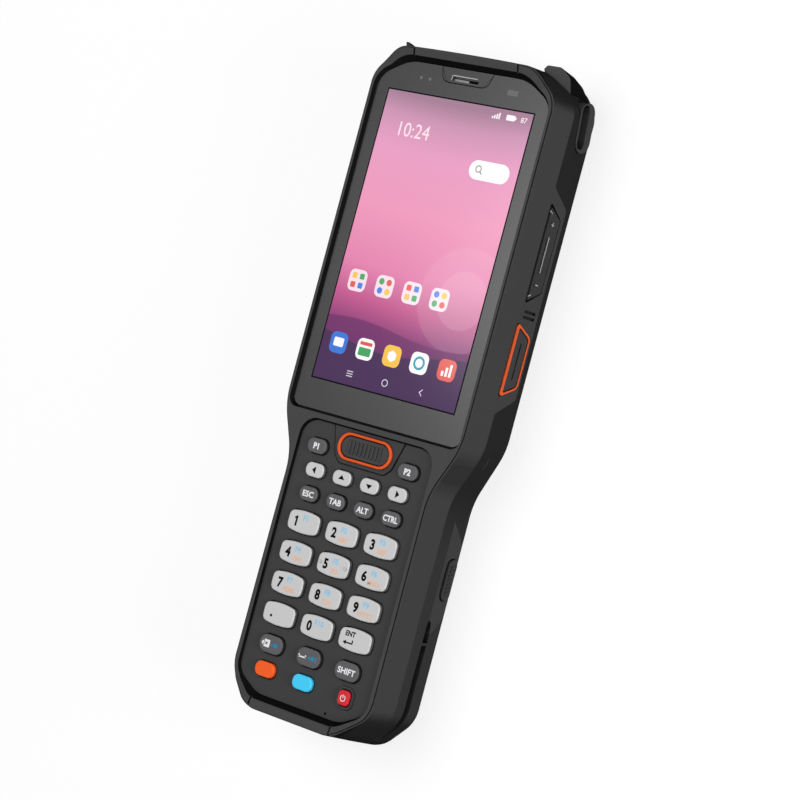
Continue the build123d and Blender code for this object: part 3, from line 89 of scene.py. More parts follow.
# ---- shader building
class Wiring:
    """Adds nodes to one node tree and joins them."""

    def __init__(self, tree: NodeTree) -> None:
        """Keep the tree that the nodes go into."""
        self.tree = tree

    def node(self, kind: str, **values: object) -> Node:
        """Add a node and set its properties or inputs.

        Args:
            kind: Type name of the node.
            values: Property or input names, with underscores for spaces; a socket is linked.

        Returns:
            The new node.
        """
        made = self.tree.nodes.new(kind)
        for name, value in values.items():
            if hasattr(made, name) and name not in made.inputs:
                setattr(made, name, value)
            else:
                self.fill(made, **{name: value})
        return made

    def fill(self, node: Node, **values: object) -> None:
        """Feed inputs of a node; their names have underscores for spaces."""
        for name, value in values.items():
            self.feed(node.inputs[name.replace("_", " ")], value)

    def feed(self, socket: NodeSocket, value: object) -> None:
        """Link another socket to this one, or set its own value."""
        if isinstance(value, NodeSocket):
            self.tree.links.new(value, socket)
        elif isinstance(value, tuple) and len(value) == 3 and socket.type == "RGBA":
            socket.default_value = (*value, 1.0)
        else:
            socket.default_value = value

    def group(self, tree: NodeTree, **values: object) -> bpy.types.bpy_prop_collection:
        """Outputs of a shared group that is placed here with its own values."""
        made = self.tree.nodes.new("ShaderNodeGroup")
        made.node_tree = tree
        self.fill(made, **values)
        return made.outputs

    def math(self, operation: str, first: object, second: object = 0.0) -> NodeSocket:
        """Value of a calculation on one or two values."""
        made = self.tree.nodes.new("ShaderNodeMath")
        made.operation = operation
        self.feed(made.inputs[0], first)
        self.feed(made.inputs[1], second)
        return made.outputs[0]

    def times(self, first: object, *others: object) -> NodeSocket:
        """Product of several values."""
        product = first
        for other in others:
            product = self.math("MULTIPLY", product, other)
        return product

    def span(self, value: object, low: float, high: float, start: float = 0.0,
             end: float = 1.0) -> NodeSocket:
        """Value mapped from one range to another, clamped and eased."""
        made = self.tree.nodes.new("ShaderNodeMapRange")
        made.interpolation_type = "SMOOTHSTEP"
        for socket, part in zip(made.inputs, (value, low, high, start, end)):
            self.feed(socket, part)
        return made.outputs[0]

    def mix(self, share: object, first: object, second: object) -> NodeSocket:
        """Colour between two colours."""
        made = self.tree.nodes.new("ShaderNodeMix")
        made.data_type = "RGBA"
        self.feed(made.inputs[0], share)
        self.feed(made.inputs[6], first)
        self.feed(made.inputs[7], second)
        return made.outputs[2]

    def ramp(self, value: object, stops: tuple[tuple[float, Colour], ...]) -> NodeSocket:
        """Colour read from a ramp of stops."""
        made = self.tree.nodes.new("ShaderNodeValToRGB")
        self.feed(made.inputs[0], value)
        elements = made.color_ramp.elements
        for _ in stops[2:]:
            elements.new(1.0)
        for element, (place, colour) in zip(elements, stops):
            element.position = place
            element.color = (*colour, 1.0)
        return made.outputs[0]

    def place(self) -> NodeSocket:
        """Place in the object's own coordinates."""
        return self.tree.nodes.new("ShaderNodeTexCoord").outputs["Object"]

    def facing(self) -> NodeSocket:
        """Way that the face points, in the object's own directions."""
        return self.tree.nodes.new("ShaderNodeTexCoord").outputs["Normal"]

    def split(self, vector: object) -> bpy.types.bpy_prop_collection:
        """X, Y and Z of a vector."""
        return self.node("ShaderNodeSeparateXYZ", Vector=vector).outputs

    def noise(self, place: object, scale: object, detail: float) -> NodeSocket:
        """Soft noise from 0 to 1."""
        return self.node("ShaderNodeTexNoise", Vector=place, Scale=scale, Detail=detail).outputs[0]

    def seen(self) -> NodeSocket:
        """One where a surface is looked at, mirrored or looked through; zero where it only lights."""
        path = self.tree.nodes.new("ShaderNodeLightPath").outputs
        looked_at = self.math("MAXIMUM", path["Is Camera Ray"], path["Is Glossy Ray"])
        return self.math("MAXIMUM", looked_at, path["Is Transmission Ray"])


class SharedEffects:
    """Shader groups that several finishes use, each built once."""

    def __init__(self) -> None:
        """Build every group."""
        self.grain = self._grain()
        self.wear_and_highlight = self._wear_and_highlight()
        self.marks = self._marks()
        self.crevice_shade = self._crevice_shade()
        self.recess_shade = self._recess_shade()

    @staticmethod
    def _open(name: str, inputs: dict[str, float],
              outputs: Iterable[str] = ("Mask",)) -> tuple[Wiring, object, object]:
        """Start a group with a Vector input.

        Args:
            name: Name of the group.
            inputs: Number inputs and their standing values.
            outputs: Number outputs.

        Returns:
            The group's wiring, what it is given and the sockets of its result.
        """
        tree = bpy.data.node_groups.new(name, "ShaderNodeTree")
        tree.interface.new_socket("Vector", in_out="INPUT", socket_type="NodeSocketVector")
        for label, value in inputs.items():
            socket = tree.interface.new_socket(label, in_out="INPUT", socket_type="NodeSocketFloat")
            socket.default_value = value
        for label in outputs:
            tree.interface.new_socket(label, in_out="OUTPUT", socket_type="NodeSocketFloat")
        given = tree.nodes.new("NodeGroupInput").outputs
        result = tree.nodes.new("NodeGroupOutput").inputs
        return Wiring(tree), given, result

    def _grain(self) -> NodeTree:
        """Spark-eroded mould texture: fine pits over a soft mottling."""
        wiring, given, result = self._open("mould_grain", {"Scale": 2600.0}, ("Height", "Mottle"))
        fine = wiring.noise(given["Vector"], given["Scale"], 2.0)
        coarse = wiring.times(given["Scale"], 0.6)
        pits = wiring.node("ShaderNodeTexVoronoi", Vector=given["Vector"], Scale=coarse)
        wiring.feed(result["Height"], wiring.math("ADD", fine, wiring.times(pits.outputs[0], 0.5)))
        wiring.feed(result["Mottle"], wiring.noise(given["Vector"], 55.0, 4.0))
        return wiring.tree

    def _wear_and_highlight(self) -> NodeTree:
        """Edges that hands have rubbed, which also carry a painted highlight: a mask along convex edges,
        broken up by noise.
        """
        wiring, given, result = self._open("edge_wear_and_highlight", {"Radius": 0.0004, "Amount": 0.5})
        rounded = wiring.node("ShaderNodeBevel", samples=4, Radius=given["Radius"])
        turned = wiring.node("ShaderNodeVectorMath", operation="DOT_PRODUCT")
        wiring.feed(turned.inputs[0], rounded.outputs[0])
        wiring.feed(turned.inputs[1], wiring.tree.nodes.new("ShaderNodeNewGeometry").outputs["Normal"])
        edge = wiring.span(turned.outputs["Value"], 0.995, 0.86)
        rub = wiring.span(wiring.noise(given["Vector"], 420.0, 4.0), 0.38, 0.62, start=0.25)
        wiring.feed(result["Mask"], wiring.times(edge, rub, given["Amount"]))
        return wiring.tree

    def _marks(self) -> NodeTree:
        """Faint handling marks that lie in soft patches."""
        wiring, given, result = self._open("handling_marks", {"Amount": 0.5})
        patch = wiring.span(wiring.noise(given["Vector"], 38.0, 5.0), 0.48, 0.72)
        speck = wiring.span(wiring.noise(given["Vector"], 900.0, 2.0), 0.5, 0.8, start=0.3)
        wiring.feed(result["Mask"], wiring.times(patch, speck, given["Amount"]))
        return wiring.tree

    def _crevice_shade(self) -> NodeTree:
        """Painted shade where surfaces meet at an inner corner or in a narrow gap, read from ambient
        occlusion.
        """
        wiring, given, result = self._open("crevice_painted_shade", {"Reach": 0.0008, "Amount": 0.8})
        closed = wiring.node("ShaderNodeAmbientOcclusion", samples=6, Distance=given["Reach"])
        deep = wiring.span(closed.outputs["AO"], 0.85, 0.35)
        wiring.feed(result["Mask"], wiring.times(deep, given["Amount"]))
        return wiring.tree

    def _recess_shade(self) -> NodeTree:
        """Painted shade on steep faces turned towards the middle of the housing: the walls of its recesses
        and slots.
        """
        wiring, given, result = self._open("recess_painted_shade", {"Amount": 1.0})
        place = wiring.split(given["Vector"])
        lean = wiring.split(wiring.facing())
        outward = wiring.math("ADD", wiring.times(place["X"], lean["X"]), wiring.times(place["Y"], lean["Y"]))
        inward = wiring.span(outward, -0.002, -0.006)
        steep = wiring.span(wiring.math("ABSOLUTE", lean["Z"]), 0.72, 0.6)
        wiring.feed(result["Mask"], wiring.times(inward, steep, given["Amount"]))
        return wiring.tree


@dataclass(frozen=True)
class Finish:
    """A finish that can make its own material."""

    name: str
    colour: Colour = (1.0, 1.0, 1.0)

    def _tone(self, gain: float, lift: float = 0.0) -> Colour:
        """The colour made lighter or darker."""
        return tuple(min(1.0, part * gain + lift) for part in self.colour)

    def start(self) -> tuple[Material, Wiring, Node]:
        """Empty material with its wiring and its Principled shader."""
        material = bpy.data.materials.new(self.name)
        material.use_nodes = True
        wiring = Wiring(material.node_tree)
        return material, wiring, material.node_tree.nodes["Principled BSDF"]


# Upward share of a face's normal, or its share along Y for the ends, between which a painted light or shade
# tint comes in.
STEEP = (0.6, 0.35)
UNDER = (-0.03, -0.12)
FLAT = (0.9, 0.98)
ENDS = (0.15, 0.6)
# Stretch of Y where the handle widens to the head, blur and gain of painted shade on steep faces above a
# level, and the share of colour left by painted shade.
NECK = (-45.0 * MM, -20.0 * MM)
SEAM_BLUR = 0.05 * MM
SEAM_SHADE = 0.2
SHADE_GAIN = 0.12
# Roughness that handling marks add and that rubbing takes away, and the painted highlight that rubbed edges
# get.
MARKS_DULL = 0.18
WEAR_POLISH = 0.12
WEAR_HIGHLIGHT_LIFT = 0.004


@dataclass(frozen=True)
class Moulded(Finish):
    """Moulded plastic or rubber with mould grain, rubbed edges with a painted highlight, handling marks and
    painted shade in corners.

    The shares and gains paint light and shade into the colour of faces that lie one way: under_shade of faces
    that look down (under_shade_on_handle of that tint stays on the handle), steep_shade of steep faces,
    end_shade of the steep faces at both ends, flat_light_gain of level faces. Steep faces above
    shade_above_level get painted shade.
    """

    roughness: float = 0.5
    specular: float = 0.1
    grain_depth: float = 0.02 * MM
    grain_scale: float = 2600.0
    mottle: float = 0.06
    marks: float = 0.3
    edge: float = 0.35 * MM
    wear_and_highlight: float = 0.35
    worn_highlight_gain: float = 1.7
    crevice_shade: float = 0.85
    crevice_shade_reach: float = 0.9 * MM
    recess_shade: float = 0.0
    under_shade: float = 1.0
    under_shade_on_handle: float = 0.35
    steep_shade: float = 1.0
    end_shade: float = 1.0
    flat_light_gain: float = 1.0
    shade_above_level: float = 0.0

    def material(self, effects: SharedEffects) -> Material:
        """Make the material.

        Args:
            effects: The shared shader groups.

        Returns:
            The finished material.
        """
        material, wiring, shader = self.start()
        place = wiring.place()
        grain = wiring.group(effects.grain, Vector=place, Scale=self.grain_scale)
        worn_and_highlight = wiring.group(effects.wear_and_highlight, Vector=place, Radius=self.edge, Amount=self.wear_and_highlight)["Mask"]
        marks = wiring.group(effects.marks, Vector=place, Amount=self.marks)["Mask"]
        base = wiring.mix(grain["Mottle"], self._tone(1 - self.mottle), self._tone(1 + self.mottle))
        # Painted light and shade by the way each face looks.
        base = self._painted_light_by_slope(wiring, place, base)
        # Rubbed edges get a lighter colour: wear, and a painted highlight.
        base = wiring.mix(worn_and_highlight, base, self._tone(self.worn_highlight_gain, WEAR_HIGHLIGHT_LIFT))
        # Colour of the painted shade in crevices and on recess walls.
        shade_tone = self._tone(SHADE_GAIN)
        # Painted shade on the walls of recesses and slots.
        if self.recess_shade:
            walls = wiring.group(effects.recess_shade, Vector=place, Amount=self.recess_shade)["Mask"]
            base = wiring.mix(walls, base, shade_tone)
        # Painted shade in inner corners and narrow gaps, read from occlusion and mixed into the colour below.
        crevice_shade_mask = wiring.group(effects.crevice_shade, Reach=self.crevice_shade_reach, Amount=self.crevice_shade)["Mask"]
        rough = wiring.math("ADD", wiring.times(marks, MARKS_DULL), self.roughness)
        rough = wiring.math("SUBTRACT", rough, wiring.times(worn_and_highlight, WEAR_POLISH))
        soften = wiring.node("ShaderNodeBevel", samples=4, Radius=self.edge)
        bump = wiring.node("ShaderNodeBump", Strength=1.0, Distance=self.grain_depth, Height=grain["Height"],
                           Normal=soften.outputs[0])
        wiring.fill(shader, Base_Color=wiring.mix(crevice_shade_mask, base, shade_tone), Roughness=rough,
                    Specular_IOR_Level=self.specular, Normal=bump.outputs[0])
        return material

    def _painted_light_by_slope(self, wiring: Wiring, place: NodeSocket,
                  base: NodeSocket) -> NodeSocket:
        """Colour with the painted light and shade that depend on the way a face looks and where it lies.

        Args:
            wiring: The material's wiring.
            place: Place in the object's own coordinates.
            base: The colour so far.

        Returns:
            The tinted colour.
        """
        lean = wiring.split(wiring.facing())
        steep = wiring.span(lean["Z"], *STEEP)
        # Painted shade on faces that look down, less of it on the handle.
        if self.under_shade < 1.0:
            along = wiring.span(wiring.split(place)["Y"], *NECK, start=self.under_shade_on_handle)
            under = wiring.times(wiring.span(lean["Z"], *UNDER), along)
            base = wiring.mix(under, base, self._tone(self.under_shade))
        # Painted shade on steep faces.
        if self.steep_shade < 1.0:
            base = wiring.mix(steep, base, self._tone(self.steep_shade))
        # Painted shade on the steep faces at both ends.
        if self.end_shade < 1.0:
            ends = wiring.times(wiring.span(wiring.math("ABSOLUTE", lean["Y"]), *ENDS), steep)
            base = wiring.mix(ends, base, self._tone(self.end_shade))
        # Painted light on level faces where the gain is above one, painted shade where it is below.
        if self.flat_light_gain != 1.0:
            base = wiring.mix(wiring.span(lean["Z"], *FLAT), base, self._tone(self.flat_light_gain))
        # Painted shade on steep faces above a level.
        if self.shade_above_level:
            above = wiring.span(wiring.split(place)["Z"], self.shade_above_level, self.shade_above_level + SEAM_BLUR)
            base = wiring.mix(wiring.times(above, steep), base, self._tone(SEAM_SHADE))
        return base


@dataclass(frozen=True)
class BackPrinted(Finish):
    """Gloss glass with a dark print behind it and faint smears on top."""

    roughness: float = 0.12
    smear: float = 0.1

    def material(self, effects: SharedEffects) -> Material:
        """Make the material; smears only change the roughness."""
        material, wiring, shader = self.start()
        place = wiring.place()
        rough = wiring.math("ADD", wiring.times(wiring.noise(place, 60.0, 5.0), self.smear), self.roughness)
        tint = wiring.mix(wiring.noise(place, 9.0, 1.0), self._tone(0.9), self.colour)
        wiring.fill(shader, Base_Color=tint, Roughness=rough)
        return material


@dataclass(frozen=True)
class Metal(Finish):
    """Plated or brushed metal."""

    roughness: float = 0.3
    brush: float = 900.0
    brush_run: float = 0.15
    brush_dull: float = 0.2

    def material(self, effects: SharedEffects) -> Material:
        """Make the material; the brushing runs along X."""
        material, wiring, shader = self.start()
        mapping = wiring.node("ShaderNodeMapping", Vector=wiring.place(), Scale=(self.brush_run, 1.0, 1.0))
        lines = wiring.noise(mapping.outputs[0], self.brush, 2.0)
        rough = wiring.math("ADD", wiring.times(lines, self.brush_dull), self.roughness)
        tint = wiring.mix(lines, self._tone(0.85), self.colour)
        wiring.fill(shader, Base_Color=tint, Roughness=rough, Metallic=1.0)
        return material


@dataclass(frozen=True)
class Ink(Finish):
    """Printed ink, thin and slightly uneven; also used for painted highlight lines and painted shadow."""

    roughness: float = 0.55

    def material(self, effects: SharedEffects) -> Material:
        """Make the material."""
        material, wiring, shader = self.start()
        tint = wiring.mix(wiring.noise(wiring.place(), 1500.0, 2.0), self.colour, self._tone(1.12, 0.001))
        wiring.fill(shader, Base_Color=tint, Roughness=self.roughness, Specular_IOR_Level=0.0)
        return material


@dataclass(frozen=True)
class Glowing(Finish):
    """Part of the screen's picture, which gives its own light under the glass."""

    roughness: float = 0.12
    specular: float = 0.5

    def _glow(self, wiring: Wiring, shader: Node, picture: NodeSocket) -> None:
        """Let a shader give the picture's light and nothing but gloss besides."""
        wiring.fill(shader, Base_Color=(0.0, 0.0, 0.0), Roughness=self.roughness,
                    Specular_IOR_Level=self.specular, Emission_Color=picture, Emission_Strength=1.0)


@dataclass(frozen=True)
class Lit(Glowing):
    """One plain lit colour with the faint grid of the display's dots."""

    def material(self, effects: SharedEffects) -> Material:
        """Make the material."""
        material, wiring, shader = self.start()
        dots = wiring.noise(wiring.place(), 4000.0, 1.0)
        self._glow(wiring, shader, wiring.mix(dots, self._tone(0.97), self.colour))
        return material


@dataclass(frozen=True)
class Wallpaper(Glowing):
    """Generic wallpaper: a dusk gradient crossed by broad soft rings over dark low waves.

    Its places and sizes are shares of the screen's width and height. The drift and the swell are the
    bend of the sky and the length of the waves. A ring has a radius and a strength, and a wave has a
    level, a swing and a phase.
    """

    specular: float = 0.2
    low: Point = (0.0, 0.0)
    high: Point = (1.0, 1.0)
    sky: tuple[tuple[float, Colour], ...] = ()
    ring_centre: Point = (0.86, 0.36)
    rings: tuple[Point, ...] = ((0.30, 0.06), (0.17, 0.08))
    ring_blur: float = 0.012
    ring_colour: Colour = (1.0, 0.86, 0.9)
    drift: float = 2.6
    drift_swing: float = 0.02
    swell: float = 5.2
    waves: tuple[Place, ...] = ((0.205, 0.018, 0.6), (0.15, 0.022, 2.4))
    wave_blur: float = 0.002
    wave_cover: float = 0.8
    wave_colours: tuple[Colour, ...] = (linear(108, 42, 102), linear(58, 40, 80))

    def material(self, effects: SharedEffects) -> Material:
        """Make the material on the screen's own height and width."""
        material, wiring, shader = self.start()
        width, height = self.high[0] - self.low[0], self.high[1] - self.low[1]
        mapping = wiring.node("ShaderNodeMapping", Vector=wiring.place(), Scale=(1 / width, 1 / height, 1.0),
                              Location=(-self.low[0] / width, -self.low[1] / height, 0.0))
        across, up, _ = wiring.split(mapping.outputs[0])
        drift = wiring.times(wiring.math("SINE", wiring.times(across, self.drift)), self.drift_swing)
        picture = wiring.ramp(wiring.math("ADD", up, drift), self.sky)
        run = wiring.math("SUBTRACT", across, self.ring_centre[0])
        rise = wiring.times(wiring.math("SUBTRACT", up, self.ring_centre[1]), height / width)
        reach = wiring.math("SQRT", wiring.math("ADD", wiring.times(run, run), wiring.times(rise, rise)))
        for radius, gain in self.rings:
            inside = wiring.span(reach, radius, radius - self.ring_blur, end=gain)
            picture = wiring.mix(inside, picture, self.ring_colour)
        for (level, swing, phase), colour in zip(self.waves, self.wave_colours):
            swell = wiring.math("SINE", wiring.math("ADD", wiring.times(across, self.swell), phase))
            crest = wiring.math("ADD", wiring.times(swell, swing), level)
            height_over = wiring.math("SUBTRACT", up, crest)
            over = wiring.span(height_over, self.wave_blur, -self.wave_blur, end=self.wave_cover)
            picture = wiring.mix(over, picture, colour)
        self._glow(wiring, shader, picture)
        return material


class Paints:
    """Makes each finish's material once and hands it out."""

    def __init__(self) -> None:
        """Start with the shared groups and no material."""
        self.effects = SharedEffects()
        self._made: dict[str, Material] = {}

    def of(self, finish: Finish) -> Material:
        """Material of a finish."""
        if finish.name not in self._made:
            self._made[finish.name] = finish.material(self.effects)
        return self._made[finish.name]


# ---- finishes of the terminal
# Each moulded finish darkens its crevices with painted shade and lightens rubbed edges with a painted
# highlight. The shell also has painted shade on recess walls, faces that look down and end faces.
SHELL = Moulded("shell_charcoal", linear(66, 66, 67), roughness=0.6, specular=0.0,
                crevice_shade_reach=3.4 * MM, recess_shade=0.9, under_shade=0.42, under_shade_on_handle=0.5, end_shade=0.4)
# Painted shade on recess walls, end faces and steep faces above 25.7 mm; painted light on level faces.
RIM = Moulded("rim_charcoal", linear(66, 66, 67), roughness=0.6, specular=0.0, crevice_shade=0.98,
              crevice_shade_reach=1.2 * MM, recess_shade=0.97, end_shade=0.4, flat_light_gain=1.25, shade_above_level=25.7 * MM)
# Painted shade on steep faces.
RUBBER = Moulded("bumper_rubber", linear(72, 72, 73), specular=0.0, grain_scale=1800.0, wear_and_highlight=0.6,
                 worn_highlight_gain=1.5, steep_shade=0.1)
LATCH = Moulded("latch_rubber", linear(62, 62, 63), roughness=0.6, specular=0.02, grain_scale=1800.0)
# Painted shade on level faces and on steep faces above 13.9 mm; strong painted highlight on edges.
ROCKER = Moulded("volume_rocker_plastic", linear(58, 58, 59), roughness=0.55, specular=0.02,
                 edge=0.22 * MM, wear_and_highlight=0.9, worn_highlight_gain=3.4, crevice_shade=0.95, crevice_shade_reach=2.2 * MM,
                 flat_light_gain=0.25, shade_above_level=13.9 * MM)
# Painted shade reaching 1.8 mm out from inner corners, round the keys.
PANEL = Moulded("keypad_panel_satin", linear(58, 58, 59), roughness=0.55, grain_depth=0.012 * MM,
                crevice_shade=0.98, crevice_shade_reach=1.8 * MM)
# Painted shade on steep key sides.
GREY_KEY = Moulded("grey_key", linear(92, 92, 95), roughness=0.42, grain_depth=0.01 * MM, wear_and_highlight=0.5,
                   crevice_shade=0.95, crevice_shade_reach=1.8 * MM, steep_shade=0.35)
SCAN_KEY = Moulded("scan_key_rubber", linear(64, 64, 65), roughness=0.55, crevice_shade=0.95,
                   crevice_shade_reach=1.6 * MM)
# Painted shade on steep key sides.
WHITE_KEY = Moulded("white_key", linear(204, 204, 205), roughness=0.35, grain_depth=0.008 * MM,
                    mottle=0.015, worn_highlight_gain=1.08, crevice_shade_reach=1.8 * MM, steep_shade=0.25)
# Strong painted highlight on rubbed edges.
ORANGE_TRIM = Moulded("orange_trim", linear(222, 88, 38), roughness=0.36, grain_depth=0.006 * MM,
                      mottle=0.02, edge=0.2 * MM, wear_and_highlight=0.8, worn_highlight_gain=1.9, crevice_shade=0.8,
                      crevice_shade_reach=1.6 * MM)


def coloured_key(name: str, colour: Colour, worn_highlight_gain: float) -> Moulded:
    """Finish of a satin key in a strong colour."""
    return Moulded(name, colour, roughness=0.34, grain_depth=0.008 * MM, mottle=0.02,
                   worn_highlight_gain=worn_highlight_gain, crevice_shade=0.7, crevice_shade_reach=1.4 * MM)


ORANGE_KEY = coloured_key("orange_key", linear(247, 98, 40), 1.2)
BLUE_KEY = coloured_key("blue_key", linear(72, 208, 250), 1.15)
RED_KEY = coloured_key("red_key", linear(214, 44, 56), 1.2)
GLASS = BackPrinted("cover_glass", linear(8, 8, 8), roughness=0.24, smear=0.02)
EARPIECE = BackPrinted("earpiece_gloss", linear(30, 30, 30), roughness=0.16)
SCAN_GLASS = BackPrinted("scan_window_red", linear(52, 12, 14), roughness=0.06)
STEEL = Metal("brushed_steel", (0.62, 0.62, 0.63))
MESH = Metal("earpiece_steel", (0.16, 0.16, 0.165), roughness=0.45)
GOLD = Metal("plated_contact", (0.83, 0.62, 0.27), roughness=0.22)
ALLOY = Metal("frame_alloy", (0.55, 0.55, 0.57), roughness=0.35)
BOARD = Moulded("solder_resist", linear(22, 84, 52), roughness=0.32, grain_depth=0.004 * MM)
MATTE_BLACK = Moulded("matte_black", linear(20, 20, 21), roughness=0.6)
# Black legend ink, also laid as painted shadow in the earpiece slot.
BLACK_INK_AND_SHADOW = Ink("black_ink_and_painted_shadow", linear(16, 16, 17))
WHITE_INK = Ink("legend_white", linear(232, 232, 232))
BLUE_INK = Ink("legend_blue", linear(138, 196, 226))
BRIGHT_BLUE_INK = Ink("legend_bright_blue", linear(40, 138, 180))
ORANGE_INK = Ink("legend_orange", linear(236, 176, 138))
GREY_INK = Ink("legend_grey", linear(70, 70, 74))
DARK_SPOT = Ink("sensor_spot", linear(112, 112, 112), roughness=0.25)
# Painted highlight lines.
PAINTED_HIGHLIGHT = Ink("painted_highlight_line", linear(176, 176, 176), roughness=0.5)
BLACK_LINE = Ink("display_border", linear(14, 12, 16))


# ---- modelling helpers
def clear_selection() -> None:
    """Deselect every object."""
    if bpy.context.object and bpy.context.object.mode != "OBJECT":
        bpy.ops.object.mode_set(mode="OBJECT")
    bpy.ops.object.select_all(action="DESELECT")


def pick(piece: Object) -> None:
    """Select one piece alone and make it the active one."""
    clear_selection()
    piece.select_set(True)
    bpy.context.view_layer.objects.active = piece


def settle(piece: Object) -> None:
    """Put the object's place, turn and size into its mesh."""
    pick(piece)
    bpy.ops.object.transform_apply(location=True, rotation=True, scale=True)


def edit(piece: Object, work: Callable[[], object]) -> None:
    """Run edit-mode operators on a piece with everything in it selected."""
    pick(piece)
    bpy.ops.object.mode_set(mode="EDIT")
    bpy.ops.mesh.select_all(action="SELECT")
    work()
    bpy.ops.object.mode_set(mode="OBJECT")


def paint(piece: Object, material: Material) -> None:
    """Give a piece one material."""
    piece.data.materials.clear()
    piece.data.materials.append(material)


def join(pieces: list[Object], name: str) -> Object:
    """Join several meshes into one piece.

    Args:
        pieces: The meshes, with their materials.
        name: Name of the joined piece.

    Returns:
        The joined piece.
    """
    clear_selection()
    for piece in pieces:
        piece.select_set(True)
    bpy.context.view_layer.objects.active = pieces[0]
    if len(pieces) > 1:
        bpy.ops.object.join()
    joined = bpy.context.view_layer.objects.active
    joined.name = name
    joined.data.name = name
    return joined


@dataclass(frozen=True)
class Press:
    """Makes thin printed shapes that face the screen's way (+Z).

    It stands at one place, and its shapes are placed from there and sized in millimetres.
    """

    paints: Paints
    middle: Place
    thickness: float = 0.012 * MM
    capitals: float = 0.73
    weld: float = 1e-7

    def raised(self, layers: int) -> "Press":
        """The same press, standing some prints higher."""
        return replace(self, middle=self._spot(0.0, 0.0, layers))

    def measure(self, place: Vector) -> Point:
        """How far in millimetres a place lies from the press."""
        return (place.x - self.middle[0]) / MM, (place.y - self.middle[1]) / MM

    def _spot(self, x: float, y: float, layers: float = 0.0) -> Place:
        """Place in metres of one that is given from the press."""
        return self.middle[0] + x * MM, self.middle[1] + y * MM, self.middle[2] + layers * self.thickness

    def _thicken(self, piece: Object, finish: Finish) -> Object:
        """Give a flat outline its thickness, outward faces and finish."""
        def work() -> None:
            """Extrude up and turn the faces outwards."""
            bpy.ops.mesh.extrude_region_move(TRANSFORM_OT_translate={"value": (0, 0, self.thickness)})
            bpy.ops.mesh.select_all(action="SELECT")
            bpy.ops.mesh.remove_doubles(threshold=self.weld)
            bpy.ops.mesh.normals_make_consistent(inside=False)
        edit(piece, work)
        paint(piece, self.paints.of(finish))
        return piece

    @staticmethod
    def _outline(sides: int, radius: float, place: Place = (0.0, 0.0, 0.0)) -> Object:
        """Flat regular shape, its radius in millimetres and its place in metres."""
        clear_selection()
        bpy.ops.mesh.primitive_circle_add(vertices=sides, radius=radius * MM, fill_type="NGON",
                                          location=place)
        piece = bpy.context.object
        settle(piece)
        return piece

    def _set_down(self, piece: Object, x: float, y: float, turn: float) -> None:
        """Turn a shape made at the origin and move it to its place."""
        piece.rotation_euler = (0, 0, turn)
        piece.location = self._spot(x, y)
        settle(piece)

    def text(self, body: str, x: float, y: float, height: float, finish: Finish, bold: float = 0.0,
             stretch: float = 1.0) -> Object:
        """Print a word or a number.

        Args:
            body: What it says.
            x: Its middle from left to right.
            y: Its middle from below to above.
            height: Height of its capitals.
            finish: Its ink.
            bold: How much heavier its strokes are, as a share of its size.
            stretch: Its width as a share of the face's own.

        Returns:
            The print.
        """
        clear_selection()
        size = height * MM / self.capitals
        bpy.ops.object.text_add(location=(0, 0, 0))
        words = bpy.context.object
        words.data.body = body
        words.data.size = size
        words.data.offset = bold * size
        words.data.align_x = "CENTER"
        words.data.resolution_u = 3
        words.data.extrude = self.thickness / 2
        bpy.ops.object.convert(target="MESH")
        piece = bpy.context.object
        piece.scale = (stretch, 1, 1)
        piece.location = self._spot(x, y - height / 2, 0.5)
        settle(piece)
        edit(piece, lambda: bpy.ops.mesh.remove_doubles(threshold=self.weld))
        paint(piece, self.paints.of(finish))
        return piece

    def disc(self, x: float, y: float, radius: float, finish: Finish, sides: int = 20) -> Object:
        """Print a disc, or a regular shape with fewer sides."""
        return self._thicken(self._outline(sides, radius, self._spot(x, y)), finish)

    def ring(self, x: float, y: float, radius: float, width: float, finish: Finish) -> Object:
        """Print a ring of the given outer radius and line width."""
        piece = self._outline(32, radius, self._spot(x, y))

        def work() -> None:
            """Inset the disc and take its middle out."""
            bpy.ops.mesh.inset(thickness=width * MM)
            bpy.ops.mesh.delete(type="FACE")
            bpy.ops.mesh.select_all(action="SELECT")
        edit(piece, work)
        return self._thicken(piece, finish)

    def tile(self, x: float, y: float, width: float, height: float, finish: Finish, corner: float = 0.0,
             turn: float = 0.0) -> Object:
        """Print a rectangle, its corners rounded where corner is above zero."""
        clear_selection()
        bpy.ops.mesh.primitive_plane_add(size=1, location=(0, 0, 0))
        piece = bpy.context.object
        piece.scale = (width * MM, height * MM, 1)
        settle(piece)
        if corner > 0:
            edit(piece, lambda: bpy.ops.mesh.bevel(offset=corner * MM, segments=6, affect="VERTICES"))
        self._set_down(piece, x, y, turn)
        return self._thicken(piece, finish)

    def stroke(self, start: Point, end: Point, width: float, finish: Finish) -> Object:
        """Print a straight line between two places."""
        across, along = end[0] - start[0], end[1] - start[1]
        return self.tile((start[0] + end[0]) / 2, (start[1] + end[1]) / 2,
                         math.hypot(across, along) + width / 2, width, finish, turn=math.atan2(along, across))

    def arrow(self, x: float, y: float, size: float, turn: float, finish: Finish,
              reach: float = 1.0) -> Object:
        """Print a triangle that points along turn, measured from +X; reach below one blunts it."""
        piece = self._outline(3, size)
        piece.scale = (1, reach, 1)
        settle(piece)
        self._set_down(piece, x, y, turn - math.pi / 2)
        return self._thicken(piece, finish)


